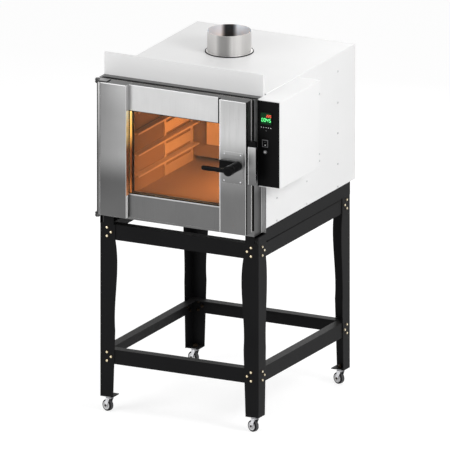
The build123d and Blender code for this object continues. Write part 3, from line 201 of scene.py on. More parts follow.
def make_oven_light():
    """Puts the warm glow of the oven lamp inside the cavity, with its glare off the right wall and the door."""
    low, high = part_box("cavity_lamp")
    warm, yellow = (1.0, 0.40, 0.11), (1.0, 0.80, 0.42)
    middle = (low + high) / 2
    lamps = [place_lamp("oven_lamp_glow", "POINT", (low.x - 0.012, middle.y, middle.z), (0, 0, -1), 1.4, color=warm,
                        shadow_soft_size=0.02)]
    for name, place, way, (long, short), power, colour in (
        ("oven_wall_glow", (0.150, 0.02, 0.93), (-1, 0.1, 0.02), (0.36, 0.08), 2.7, warm),
        ("door_side_glow", (0.125, -0.331, 1.02), (-1, 0, 0), (0.012, 0.14), 1.1, yellow),
        ("door_head_glow", (-0.04, -0.331, 1.088), (0, 0, -1), (0.30, 0.012), 0.3, warm),
    ):
        lamps.append(place_lamp(name, "AREA", place, way, power, color=colour, shape="RECTANGLE", size=long,
                                size_y=short))
    for lamp in lamps:
        lamp.visible_camera = lamp.visible_glossy = lamp.visible_transmission = False


# ---------------------------------------------------------------- shared shader groups

SOCKET_KINDS = {1: "NodeSocketFloat", 3: "NodeSocketVector", 4: "NodeSocketColor"}


def new_group(name, inputs, **outputs):
    """Starts a shader node group: each input has its usual value, each output its count of numbers (1, 3 or 4)."""
    group = bpy.data.node_groups.new(name, "ShaderNodeTree")
    for label, value in inputs.items():
        kind = SOCKET_KINDS[len(value) if isinstance(value, tuple) else 1]
        group.interface.new_socket(label, in_out="INPUT", socket_type=kind).default_value = value
    for label, count in outputs.items():
        group.interface.new_socket(label, in_out="OUTPUT", socket_type=SOCKET_KINDS[count])
    return group, group.nodes.new("NodeGroupInput").outputs, group.nodes.new("NodeGroupOutput").inputs


def make_grain_group():
    """Grain of a coat or of brushed metal: fine noise, stretched along a direction, over slow patches."""
    group, given, result = new_group("surface_grain", {
        "Stretch": (1, 1, 1), "Fineness": 600.0, "Patch Size": 6.0, "Tone Low": neutral(0.5),
        "Tone High": neutral(0.6), "Roughness Low": 0.4, "Roughness High": 0.6}, Colour=4, Roughness=1, Height=1)
    place = add_node(group, "TexCoord").outputs["Object"]
    fine = noise(group, vector(group, "MULTIPLY", place, given["Stretch"]), given["Fineness"], 3.0, 0.6)
    level = ramp(group, number(group, "ADD", fine, noise(group, place, given["Patch Size"], 2.0)), 0.7, 1.3)
    join_inputs(group, result, {
        "Colour": blend(group, level, given["Tone Low"], given["Tone High"]),
        "Roughness": ramp(group, fine, 0.3, 0.7, given["Roughness Low"], given["Roughness High"]), "Height": fine})
    return group


def make_edge_group():
    """Rounded look along edges, with a mask for wear and painted highlight there: the mask is 1 on an edge and 0 on a
    flat.
    """
    group, given, result = new_group("edge_wear_and_highlight", {"Width": 0.001, "Break Up": 60.0, "Amount": 1.0}, Mask=1, Normal=3)
    rounded = add_node(group, "Bevel", {"Radius": given["Width"]}, samples=4).outputs[0]
    flat = add_node(group, "NewGeometry").outputs["Normal"]
    bend = ramp(group, vector(group, "DOT_PRODUCT", rounded, flat), 0.995, 0.85)
    place = add_node(group, "TexCoord").outputs["Object"]
    wear_and_highlight = ramp(group, noise(group, place, given["Break Up"], 3.0), 0.38, 0.62)
    mask = number(group, "MULTIPLY", number(group, "MULTIPLY", bend, wear_and_highlight), given["Amount"])
    join_inputs(group, result, {"Mask": mask, "Normal": rounded})
    return group


def make_dust_group():
    """Dust that settles on faces that look up, in soft patches."""
    group, given, result = new_group("settled_dust", {"Amount": 0.2, "Patch Size": 20.0}, Mask=1)
    coords = add_node(group, "TexCoord").outputs
    upward = ramp(group, parts_of(group, coords["Normal"])["Z"], 0.4, 1.0)
    some = number(group, "MULTIPLY", upward, noise(group, coords["Object"], given["Patch Size"], 4.0))
    join_inputs(group, result, {"Mask": number(group, "MULTIPLY", some, given["Amount"])})
    return group


TONE_STOPS = ("Foot", "Low", "Middle", "High", "Top")


def make_sheen_group():
    """Painted sheen of a sheet: painted reflection in five steps from foot to top, painted shade toward its high left,
    painted tones on its sides and top faces, and a painted highlight on its folded edges.
    """
    values = {stop: neutral(0.4) for stop in TONE_STOPS + ("Side Foot", "Side Top", "Fold", "Cap")}
    group, given, result = new_group("painted_sheet_sheen", {
        **values, "Left Shade": WHITE, "Side Amount": 1.0, "Cap Amount": 0.0}, Colour=4)
    coords = add_node(group, "TexCoord").outputs
    place, facing_way = parts_of(group, coords["Generated"]), parts_of(group, coords["Normal"])
    height, sideways = place["Z"], facing_way["X"]
    # painted reflection: the tone steps from foot to top over the piece's height
    tone = given["Foot"]
    for step, stop in enumerate(TONE_STOPS[1:]):
        rise = ramp(group, height, step / 4, (step + 1) / 4, way="SMOOTHSTEP")
        tone = blend(group, rise, tone, given[stop])
    # painted shade, strongest at the high left of the piece
    high_left = number(group, "MULTIPLY", number(group, "SUBTRACT", 1.0, place["X"]), height)
    shade = blend(group, high_left, WHITE, given["Left Shade"])
    tone = blend(group, 1.0, tone, shade, "MULTIPLY")
    # painted tones on the side faces, from foot to top
    side_tone = blend(group, ramp(group, height, 0.3, 0.75), given["Side Foot"], given["Side Top"])
    tone = blend(group, ramp(group, sideways, 0.75, 0.97, 0.0, given["Side Amount"]), tone, side_tone)
    # painted highlight where a face turns partly to the side, as on a folded edge
    from_fold = number(group, "ABSOLUTE", number(group, "SUBTRACT", sideways, 0.55))
    tone = blend(group, ramp(group, from_fold, 0.4, 0.15), tone, given["Fold"])
    # painted tone on faces that look up
    cap = ramp(group, facing_way["Z"], 0.75, 0.97, 0.0, given["Cap Amount"])
    join_inputs(group, result, {"Colour": blend(group, cap, tone, given["Cap"])})
    return group


def make_round_group():
    """Painted reflection round an upright axis: a darker painted reflection on one side, three soft painted bands on
    the rest.
    """
    group, given, result = new_group("painted_round_reflection", {
        "Centre": (0, 0, 0), "Dark Side": (0, -1, 0), "Edge": 0.9, "Core": 0.99, "Dark": neutral(0.2),
        "Bright": neutral(0.6), "Band": neutral(0.5)}, Colour=4)
    away = vector(group, "SUBTRACT", add_node(group, "TexCoord").outputs["Object"], given["Centre"])
    out = vector(group, "NORMALIZE", vector(group, "MULTIPLY", away, (1, 1, 0)))
    toward = vector(group, "DOT_PRODUCT", out, given["Dark Side"])
    wave = number(group, "SINE", number(group, "MULTIPLY", toward, 3.0))
    tone = blend(group, ramp(group, wave, -1.0, 1.0), given["Bright"], given["Band"])
    dark = ramp(group, toward, given["Edge"], given["Core"], way="SMOOTHSTEP")
    join_inputs(group, result, {"Colour": blend(group, dark, tone, given["Dark"])})
    return group


grain_group = make_grain_group()
edge_highlight_and_wear_group = make_edge_group()
dust_group = make_dust_group()
painted_sheen_group = make_sheen_group()
painted_reflection_group = make_round_group()


# ---------------------------------------------------------------- finishes

UPRIGHT_GRAIN = (900, 900, 6)
LEVEL_GRAIN = (6, 900, 900)
RELIEF = 0.35


def place_group(tree, group, values):
    """Puts a shared group into a material with its own values."""
    return add_node(tree, "Group", values, node_tree=group).outputs


def grey(level, warmth=0.0):
    """Gives a grey from a screen level of 0 to 255, slightly warm or cool."""
    value = level / 255.0
    linear = value / 12.92 if value <= 0.04045 else ((value + 0.055) / 1.055) ** 2.4
    return linear * (1 + warmth), linear, linear * (1 - warmth), 1


finish_of = {}


def start_finish(name, **plain):
    """Starts a material: its tree and its shader, with the sockets that stay the same all over."""
    finish_of[name] = bpy.data.materials.new(name)
    tree = clear_tree(finish_of[name])
    shader = add_node(tree, "BsdfPrincipled", {label.replace("_", " "): value for label, value in plain.items()})
    add_node(tree, "OutputMaterial", {"Surface": shader.outputs[0]})
    return tree, shader


def finish_surface(tree, shader, rough, depth, grain, edge=None, dust=0.0, tone=None):
    """Joins grain, edges lightened as wear and painted highlight (width, amount, tone, break-up), dust and relief into
    the shader; a given tone, the painted sheen or painted reflection, multiplies the grain.
    """
    grain = place_group(tree, grain_group, {**grain, "Roughness Low": rough[0], "Roughness High": rough[1]})
    colour = blend(tree, 1.0, tone, grain["Colour"], "MULTIPLY") if tone else grain["Colour"]
    relief = {"Height": grain["Height"], "Strength": RELIEF, "Distance": depth}
    if edge:
        width, amount, edge_lit_and_rubbed_tone, break_up = edge
        wear_and_highlight = place_group(tree, edge_highlight_and_wear_group, {"Width": width, "Amount": amount, "Break Up": break_up})
        colour = blend(tree, wear_and_highlight["Mask"], colour, edge_lit_and_rubbed_tone)
        relief["Normal"] = wear_and_highlight["Normal"]
    if dust:
        settled = place_group(tree, dust_group, {"Amount": dust})
        colour = blend(tree, settled["Mask"], colour, grey(190, 0.05))
    bump = add_node(tree, "Bump", relief)
    join_inputs(tree, shader.inputs, {"Base Color": colour, "Roughness": grain["Roughness"],
                                      "Normal": bump.outputs[0]})


def make_coat(name, low, high, rough, peel, edge_width, edge_lit_and_rubbed_tone, wear, dust, gloss=0.5):
    """Powder coat, rubber or moulded plastic: fine peel, rounded edges lightened as light wear and painted highlight.
    """
    tree, shader = start_finish(name, Specular_IOR_Level=gloss)
    finish_surface(tree, shader, rough, peel, {
        "Fineness": 900.0, "Patch Size": 5.0, "Tone Low": low, "Tone High": high},
        (edge_width, wear, edge_lit_and_rubbed_tone, 60.0), dust)


def brush_over(tree, shader, tone, stretch, rough, edge_lit_and_rubbed_level):
    """Lays brushed grain, and edges lightened as wear and painted highlight, over a painted sheen tone."""
    finish_surface(tree, shader, rough, 0.00004, {
        "Stretch": stretch, "Fineness": 1.0, "Patch Size": 9.0, "Tone Low": neutral(0.88), "Tone High": WHITE},
        (0.0012, 0.8, grey(edge_lit_and_rubbed_level), 15.0), tone=tone["Colour"])


def make_brushed(name, tones, sides, fold, stretch=UPRIGHT_GRAIN, rough=(0.26, 0.42), edge_lit_and_rubbed_level=225, metal=1.0,
                 left_shade=255, cap=0):
    """Brushed steel sheet with painted reflection: its tone runs in five painted steps from foot to top, with painted
    side, fold-highlight and top tones, an optional painted shade at the high left, and bright edges that are partly
    painted highlight.
    """
    tree, shader = start_finish(name, Metallic=metal)
    levels = dict(zip(TONE_STOPS, tones), Fold=fold, Cap=cap, **{
        "Side Foot": sides[0], "Side Top": sides[1], "Left Shade": left_shade})
    values = {label: grey(level) for label, level in levels.items()}
    tone = place_group(tree, painted_sheen_group, {**values, "Cap Amount": 1.0 if cap else 0.0})
    brush_over(tree, shader, tone, stretch, rough, edge_lit_and_rubbed_level)


def make_rolled(name, centre, dark_side, edge, core, dark, bright, band, rough, metal, warmth):
    """Rolled steel tube with a painted reflection: soft painted bands round it and a darker painted side."""
    tree, shader = start_finish(name, Metallic=metal)
    tone = place_group(tree, painted_reflection_group, {
        "Centre": centre, "Dark Side": dark_side, "Edge": edge, "Core": core,
        "Dark": grey(dark, warmth), "Bright": grey(bright, warmth), "Band": grey(band, warmth)})
    brush_over(tree, shader, tone, UPRIGHT_GRAIN, rough, 245)


def make_warm_painted_steel(name, rough, tones, metal=0.35, raised=None):
    """Satin steel in warm tones painted in five steps from foot to top, as painted light from the oven lamp; a raised
    front face can have its own painted highlight tone.
    """
    tree, shader = start_finish(name, Metallic=metal)
    values = {stop: tone + (1,) for stop, tone in zip(TONE_STOPS, tones)}
    colour = place_group(tree, painted_sheen_group, {**values, "Side Amount": 0.0, "Fold": values["Top"]})["Colour"]
    if raised:
        depth = parts_of(tree, add_node(tree, "TexCoord").outputs["Generated"])["Y"]
        colour = blend(tree, ramp(tree, depth, 0.5, 0.1), colour, raised + (1,))
    finish_surface(tree, shader, rough, 0.00005, {
        "Stretch": (1, 1, 0.06), "Fineness": 500.0, "Patch Size": 7.0,
        "Tone Low": (0.8, 0.78, 0.75, 1), "Tone High": WHITE},
        (0.0008, 0.7, (0.9, 0.82, 0.7, 1), 15.0), tone=colour)


def make_zinc(name, low, high, rough, edge_lit_and_rubbed_level=235):
    """Plated fastener metal with small cloudy spangles and edges lightened as wear and painted highlight."""
    tree, shader = start_finish(name, Metallic=1.0)
    finish_surface(tree, shader, rough, 0.00003, {
        "Fineness": 260.0, "Patch Size": 90.0, "Tone Low": low, "Tone High": high},
        (0.0006, 0.7, grey(edge_lit_and_rubbed_level), 200.0))


def make_glass(name, colour, rough, ior=1.5):
    """Clear glass with a very faint wavy surface."""
    tree, shader = start_finish(name, IOR=ior, Transmission_Weight=1.0, Base_Color=colour)
    grain = place_group(tree, grain_group, {
        "Fineness": 14.0, "Patch Size": 3.0, "Roughness Low": rough[0], "Roughness High": rough[1]})
    bump = add_node(tree, "Bump", {"Height": grain["Height"], "Strength": 0.06, "Distance": 0.0004})
    join_inputs(tree, shader.inputs, {"Roughness": grain["Roughness"], "Normal": bump.outputs[0]})


def make_glow(name, colour, strength):
    """Lit segment: a glowing plastic that is slightly uneven."""
    tree, shader = start_finish(name, Emission_Strength=strength)
    dim = tuple(0.75 * part for part in colour[:3]) + (1,)
    grain = place_group(tree, grain_group, {
        "Fineness": 400.0, "Patch Size": 200.0, "Tone Low": dim, "Tone High": colour,
        "Roughness Low": 0.3, "Roughness High": 0.5})
    join_inputs(tree, shader.inputs, {"Base Color": grain["Colour"], "Emission Color": grain["Colour"],
                                      "Roughness": grain["Roughness"]})


# each coat: darker and lighter tone, roughness, peel, edge width, edge tone (wear and painted highlight), wear, dust,
# gloss
for coat in (
    ("stand_powder_coat", neutral(0.0045, 0.005), neutral(0.0075, 0.008), (0.42, 0.6), 0.00008, 0.0012, grey(60), 0.3,
     0.03, 0.08),
    ("casing_powder_coat", neutral(0.80), neutral(0.83), (0.38, 0.55), 0.00006, 0.0012, neutral(0.93), 0.6, 0.06, 0.4),
    ("black_plastic", neutral(0.0018, 0.002), neutral(0.0035, 0.004), (0.26, 0.4), 0.00005, 0.0014, grey(62), 0.35,
     0.0, 0.07),
    ("panel_plastic", neutral(0.0018, 0.002), neutral(0.0034, 0.0036), (0.34, 0.5), 0.00002, 0.0006, grey(60), 0.3,
     0.0, 0.07),
    ("key_plastic", neutral(0.80, 0.81), neutral(0.90, 0.91), (0.35, 0.5), 0.00003, 0.0004, neutral(0.8), 0.4, 0.0),
    ("dark_key_plastic", neutral(0.11, 0.115), neutral(0.16, 0.165), (0.35, 0.5), 0.00003, 0.0004, neutral(0.3), 0.4,
     0.0),
    ("wheel_rubber", neutral(0.006, 0.0065), neutral(0.012, 0.013), (0.6, 0.8), 0.00025, 0.001, neutral(0.04), 0.5,
     0.03, 0.15),
    ("tread_rubber", neutral(0.07, 0.072), neutral(0.10, 0.103), (0.6, 0.8), 0.00025, 0.001, neutral(0.12), 0.5, 0.03,
     0.15),
    ("wheel_hub_plastic", neutral(0.60, 0.61), neutral(0.72, 0.73), (0.4, 0.55), 0.00006, 0.0005, neutral(0.75), 0.4,
     0.1),
    ("gasket_rubber", neutral(0.0016), neutral(0.0034), (0.55, 0.75), 0.0002, 0.001, neutral(0.008), 0.4, 0.0, 0.06),
    ("grey_rubber", neutral(0.22), neutral(0.30), (0.55, 0.75), 0.0001, 0.0006, neutral(0.4), 0.4, 0.05),
    ("motor_paint", neutral(0.02, 0.022), neutral(0.04, 0.043), (0.45, 0.65), 0.0002, 0.001, grey(110), 0.5, 0.2),
    ("screen_glass", (0.001, 0.034, 0.009, 1), (0.002, 0.050, 0.014, 1), (0.12, 0.2), 0.00001, 0.0004, grey(50), 0.3,
     0.0, 0.1),
):
    make_coat(*coat)

# painted reflection and shade on each steel: five tones from foot to top, side tones at foot and top, a fold highlight,
# and on some a painted shade at the high left and a painted tone on top faces; the trim and hem steels are near white
# to stand in for highlights
make_brushed("left_stile_steel", (102, 98, 166, 172, 198), (200, 225), 235, rough=(0.12, 0.26), left_shade=180, cap=104)
make_brushed("right_stile_steel", (112, 114, 150, 196, 184), (84, 118), 245, cap=104)
make_brushed("rail_steel", (110, 111, 160, 200, 204), (90, 90), 200, cap=100)
make_brushed("frame_steel", (116, 114, 112, 108, 104), (80, 225), 100, metal=0.6)
make_brushed("hinge_steel", (56, 60, 64, 60, 56), (64, 64), 100, edge_lit_and_rubbed_level=120, cap=150)
make_brushed("highlight_trim_steel", (190, 195, 225, 245, 252), (235, 245), 245, rough=(0.12, 0.24), edge_lit_and_rubbed_level=252, metal=0.4)
make_brushed("hem_highlight_steel", (104, 102, 110, 165, 200), (255, 165), 200, metal=0.3)
make_brushed("plate_steel", (124, 134, 146, 160, 172), (110, 110), 225, LEVEL_GRAIN)
make_brushed("keeper_steel", (106, 118, 140, 166, 186), (60, 60), 235)
make_brushed("hood_steel", (110,) * 5, (80, 80), 140, LEVEL_GRAIN)
flue_middle = middle_of("flue_collar")
# painted reflection on the flue: outside, a darker band on one side; inside, a dark patch on one side with bright walls
# round it
make_rolled("flue_outside", flue_middle, (0.19, -0.98, 0), 0.92, 0.995, 150, 214, 204, (0.32, 0.46), 0.75, 0.02)
make_rolled("flue_inside", flue_middle, (-0.46, 0.888, 0), 0.915, 0.992, 36, 246, 232, (0.3, 0.5), 0.35, -0.06)
# warm tones painted from foot to top stand in for the oven lamp's light on the cavity, racks, baffle, door inside and
# heater tube; the baffle's raised front gets a painted highlight and the heater tube a painted highlight at mid height
make_warm_painted_steel("cavity_steel", (0.38, 0.55), (
    (0.44, 0.35, 0.27), (0.38, 0.29, 0.22), (0.20, 0.15, 0.11), (0.14, 0.10, 0.078), (0.12, 0.085, 0.065)))
make_warm_painted_steel("rack_steel", (0.30, 0.45), (
    (0.74, 0.66, 0.58), (0.74, 0.66, 0.58), (0.70, 0.60, 0.50), (0.60, 0.50, 0.40), (0.50, 0.40, 0.32)))
make_warm_painted_steel("baffle_steel", (0.32, 0.48), (
    (0.42, 0.34, 0.27), (0.40, 0.32, 0.25), (0.34, 0.26, 0.20), (0.28, 0.21, 0.16), (0.24, 0.18, 0.13)),
    raised=(0.86, 0.76, 0.62))
make_warm_painted_steel("door_inside_steel", (0.38, 0.5), (
    (0.58, 0.57, 0.55), (0.60, 0.59, 0.57), (0.62, 0.61, 0.59), (0.64, 0.63, 0.61), (0.66, 0.65, 0.63)), metal=0.7)
# painted reflection of the cavity's warm glow: orange at the foot, dark brown low and in the middle, yellow high up,
# pale yellow at the top
make_warm_painted_steel("painted_glow_reflection_steel", (0.2, 0.35), (
    (0.74, 0.31, 0.14), (0.20, 0.075, 0.042), (0.22, 0.078, 0.042), (0.98, 0.74, 0.32), (0.98, 0.98, 0.66)), metal=0.2)
make_warm_painted_steel("heater_tube", (0.5, 0.7), (
    (0.10, 0.075, 0.06), (0.12, 0.09, 0.07), (0.17, 0.12, 0.09), (0.13, 0.09, 0.07), (0.10, 0.075, 0.06)))
make_zinc("bright_zinc", neutral(0.48, 0.50), neutral(0.80, 0.82), (0.16, 0.34))
make_zinc("yellow_zinc", (0.62, 0.50, 0.30, 1), (0.98, 0.90, 0.68, 1), (0.18, 0.36))
make_zinc("black_zinc", (0.010, 0.007, 0.005, 1), (0.040, 0.028, 0.018, 1), (0.3, 0.5), edge_lit_and_rubbed_level=60)
make_zinc("screw_zinc", neutral(0.34, 0.35), neutral(0.62, 0.63), (0.2, 0.4))
finish_surface(*start_finish("mineral_wool"), (0.85, 1.0), 0.002, {
    "Stretch": (1, 1, 5), "Fineness": 320.0, "Patch Size": 30.0,
    "Tone Low": (0.42, 0.38, 0.26, 1), "Tone High": (0.78, 0.74, 0.6, 1)})
make_glass("pane_glass", (0.985, 0.90, 0.78, 1), (0.0, 0.01), 1.2)
make_glass("lens_glass", (1.0, 0.86, 0.62, 1), (0.3, 0.45))
make_glow("red_segments", (1.0, 0.10, 0.05, 1), 1.6)
make_glow("green_segments", (0.12, 0.95, 0.25, 1), 1.6)
make_glow("lamp_filament", (1.0, 0.52, 0.18, 1), 9.0)

# the CAD nodes that keep their shape, with their finishes
for finish, dressed in {
    "stand_powder_coat": "leg_front_left leg_front_right leg_back_left leg_back_right cross_beams side_beams "
                         "support_rails",
    "casing_powder_coat": "cabinet_shell back_panel sign_panel control_box",
    "screw_zinc": "base_tray",
    "mineral_wool": "insulation",
    "frame_steel": "front_frame",
    "hinge_steel": "hinge_brackets hinge_leaves",
    "hood_steel": "hood_plate",
    "cavity_steel": "cavity_liner",
    "rack_steel": "tray_racks fan_wheel",
    "baffle_steel": "fan_baffle",
    "motor_paint": "fan_motor",
    "heater_tube": "ring_heater",
    "left_stile_steel": "door_left_stile",
    "right_stile_steel": "door_right_stile",
    "rail_steel": "door_rails",
    "door_inside_steel": "door_inner_pan",
    "pane_glass": "door_glass",
    "plate_steel": "handle_plate latch_bolt",
    "keeper_steel": "latch_keeper",
    "black_plastic": "door_switch",
    "panel_plastic": "control_panel",
}.items():
    for node in dressed.split():
        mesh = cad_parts[node].data
        mesh.materials.clear()
        mesh.materials.append(finish_of[finish])


# ---------------------------------------------------------------- mesh tools

MM = 0.001


def mm(x, y, z):
    """Gives a point in metres from millimetres."""
    return Vector((x, y, z)) * MM


def placed(point, across, up, out):
    """Gives the placement at a point whose X, Y and Z run along three directions."""
    return Matrix.Translation(point) @ Matrix((across, up, out)).transposed().to_4x4()


def toward_front(x, y, z):
    """Gives a placement that looks at the user: its X runs right, its Y up and its Z to the front."""
    return placed(mm(x, y, z), (1, 0, 0), (0, 0, 1), (0, -1, 0))


def facing(point, direction, turn=0.0):
    """Gives the placement at a point whose +Z runs along a direction."""
    way = Vector(direction).normalized().to_track_quat("Z", "Y").to_matrix().to_4x4()
    return Matrix.Translation(point) @ way @ Matrix.Rotation(turn, 4, "Z")


def shifted(place, x, y=0.0, z=0.0):
    """Moves a placement along its own directions, in millimetres."""
    return place @ Matrix.Translation(mm(x, y, z))


def spread(place, count, radius, start=0.0):
    """Gives placements evenly round the Z of a placement, at a radius in millimetres."""
    return [shifted(place @ Matrix.Rotation(math.tau * (k + start) / count, 4, "Z"), radius) for k in range(count)]


def polar(radius, height, turn):
    """Gives a point round the Z axis from its radius, its height and its angle."""
    return radius * math.cos(turn), radius * math.sin(turn), height


def round_points(radius, first, last, step, middle=(0, 0)):
    """Gives points on an arc, with its angles in degrees."""
    return [(middle[0] + radius * math.cos(math.radians(angle)), middle[1] + radius * math.sin(math.radians(angle)))
            for angle in range(first, last + 1, step)]


def rounded_outline(width, height, radius, steps=6):
    """Gives a rectangle's outline with round corners, about its middle."""
    points = []
    for quarter, (sx, sy) in enumerate(((1, 1), (-1, 1), (-1, -1), (1, -1))):
        middle = (sx * (width / 2 - radius), sy * (height / 2 - radius))
        points += round_points(radius, 90 * quarter, 90 * quarter + 90, 90 // steps, middle)
    return points


def ring(mesh, place, points):
    """Adds a row of vertices at points in millimetres."""
    return [mesh.verts.new(place @ mm(*point)) for point in points]


def join_rings(mesh, rings, slot=0, closed=True, caps=False):
    """Skins a row of rings of vertices; a ring of one vertex closes to a point."""
    faces = []
    for lower, upper in zip(rings, rings[1:]):
        sides = max(len(lower), len(upper))
        for k in range(sides if closed else sides - 1):
            after = (k + 1) % sides
            faces.append(list(dict.fromkeys((lower[k % len(lower)], lower[after % len(lower)],
                                             upper[after % len(upper)], upper[k % len(upper)]))))
    if caps:
        faces += [rings[0][::-1], rings[-1]]
    for corners in faces:
        if len(corners) > 2:
            mesh.faces.new(corners).material_index = slot


def turned(mesh, place, profile, sides=40, slot=0):
    """Adds a turned shape: profile lists radius and height in millimetres from one end to the other."""
    join_rings(mesh, [ring(mesh, place, [polar(radius, height, math.tau * k / sides)
                                         for k in range(sides if radius else 1)])
                      for radius, height in profile], slot)


def slab(mesh, place, outline, high, low=0.0, slot=0):
    """Adds a plate with the given outline in millimetres, between two heights."""
    join_rings(mesh, [ring(mesh, place, [(x, y, z) for x, y in outline]) for z in (low, high)], slot, caps=True)


def merge_close(mesh):
    """Joins the vertices where two runs of a shape meet."""
    bmesh.ops.remove_doubles(mesh, verts=mesh.verts, dist=1e-7)


def ring_round(mesh, low, high, y, profile):
    """Adds a closed run round a rectangle in millimetres, seen along Y; profile lists inset and reach to the front."""
    corners = ((low[0], low[1], 1, 1), (high[0], low[1], -1, 1), (high[0], high[1], -1, -1), (low[0], high[1], 1, -1))
    join_rings(mesh, [ring(mesh, Matrix(), [(x + sx * inset, y - reach, z + sz * inset) for inset, reach in profile])
                      for x, z, sx, sz in corners + corners[:1]])
    merge_close(mesh)


def finish_piece(mesh, name, body, slot, finishes, *replaced, bevel=0.0, segments=3, sharp=32):
    """Turns a bmesh into a named piece that rides on a body; its faces' slots follow the finishes."""
    bmesh.ops.recalc_face_normals(mesh, faces=mesh.faces)
    data = bpy.data.meshes.new(name)
    mesh.to_mesh(data)
    mesh.free()
    for finish in finishes.split():
        data.materials.append(finish_of[finish])
    data.polygons.foreach_set("use_smooth", [True] * len(data.polygons))
    data.set_sharp_from_angle(angle=math.radians(sharp))
    piece = bpy.data.objects.new(name, data)
    scene.collection.objects.link(piece)
    if bevel:
        round_over = piece.modifiers.new("round_over", "BEVEL")
        round_over.width = bevel * MM
        round_over.segments = segments
        round_over.limit_method = "ANGLE"
        round_over.angle_limit = math.radians(40)
        round_over.harden_normals = True
    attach(piece, body)
    if replaced:
        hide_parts(*replaced)
    return piece


# ---------------------------------------------------------------- stand

LEFT, RIGHT, FRONT, BACK = -341.4, 258.6, -306.0, 379.0
LEG_FOOT, LEG_TOP = 56.0, 666.0
CORNERS = {
    "front_left": (LEFT, FRONT, 1, 1), "front_right": (RIGHT, FRONT, -1, 1),
    "back_left": (LEFT, BACK, 1, -1), "back_right": (RIGHT, BACK, -1, -1),
}
STUDS = {corner: mm(x + sx * 24.5, y + sy * 22.5, 0) for corner, (x, y, sx, sy) in CORNERS.items()}
BOLT_GRIP = 4.5
BEAM_MIDDLES = (639.0, 199.5)
UP = (0, 0, 1)
TURN_OVER = Matrix.Rotation(math.pi, 4, "X")


def hex_head(mesh, place, flats, low, high, chamfer, slot=0):
    """Adds a hexagonal head whose corners are turned down on its outer face."""
    corner, flat = flats / math.sqrt(3), flats / 2
    levels = (((corner, low), (flat, low)), ((corner, high - chamfer), (flat, high - chamfer * 0.15)),
              ((flat * 0.86, high),) * 2)
    join_rings(mesh, [ring(mesh, place, [polar(*level[k % 2], math.tau * k / 12) for k in range(12)])
                      for level in levels], slot, caps=True)


def make_stand_fasteners():
    """Bolts with a washer face and chamfered heads, their nuts inside, and the castor studs."""
    bolts, nuts = bmesh.new(), bmesh.new()
    for x, y, sx, sy in CORNERS.values():
        for level in BEAM_MIDDLES:
            for away, rise in ((27, 15), (42, 0), (27, -15)):
                for across, along, way in ((x + sx * away, y, (0, sy, 0)), (x, y + sy * away, (sx, 0, 0))):
                    place = facing(mm(across, along, level + rise), way, 0.3)
                    hex_head(bolts, place @ TURN_OVER, 7.2, 0.9, 4.0, 0.8)
                    turned(bolts, place, [(0, -0.9), (6.2, -0.9), (6.5, -0.5), (6.5, 0), (3, 0), (3, BOLT_GRIP + 6.4),
                                          (2.4, BOLT_GRIP + 7.0), (0, BOLT_GRIP + 7.0)], 24, 1)
                    inner = shifted(place, 0, 0, BOLT_GRIP)
                    hex_head(nuts, inner, 10, 0.8, 5, 0.8, 1)
                    turned(nuts, inner, [(3.4, 0), (6.4, 0), (6.4, 0.8), (3.4, 0.8)], 24, 1)
    for spot in STUDS.values():
        foot = facing(spot, UP)
        turned(bolts, foot, [(0, LEG_FOOT), (13, LEG_FOOT), (13, 53), (12, 50.6), (8, 50), (4, 50), (4, 45.2),
                             (6.2, 45), (5.4, 43.4), (2.5, 42.7), (0, 42.7)], 36, 2)
        turned(bolts, foot, [(5, LEG_FOOT), (5, 67.8), (4, 69), (0, 69)], 24, 1)
        hex_head(nuts, shifted(foot, 0, 0, 59), 17, 0, 8, 1.2, 1)
    finish_piece(bolts, "stand_bolt_set", "oven", "fastener_zinc", "yellow_zinc black_zinc bright_zinc", "stand_bolts")
    finish_piece(nuts, "stand_nut_set", "oven", "fastener_zinc", "bright_zinc black_zinc", "stand_nuts")


CASTOR_ANGLE = math.radians(-19.0)
CASTOR_TRAIL = 8.0
WHEEL_RADIUS = 20.0
CHEEK_OFFSET = 9.5
WHEEL_HUB = [(3.2, 8.4), (5.6, 8.4), (6.2, 7.6), (6.6, 5.8), (10.6, 5.8), (11.4, 6.6), (12.0, 8.2), (14.6, 8.5)]
WHEEL_SHOULDER = [(14.6, 8.5), (17.2, 8.3), (19.2, 7.2), (19.9, 5.6), (20.0, 4.8)]
WHEEL_TREAD = [(20.0, 4.8), (20.0, 1.6), (19.6, 0.8)]


def other_half(profile):
    """Mirrors half a profile to the other end of its axis."""
    return [(radius, -height) for radius, height in reversed(profile)]


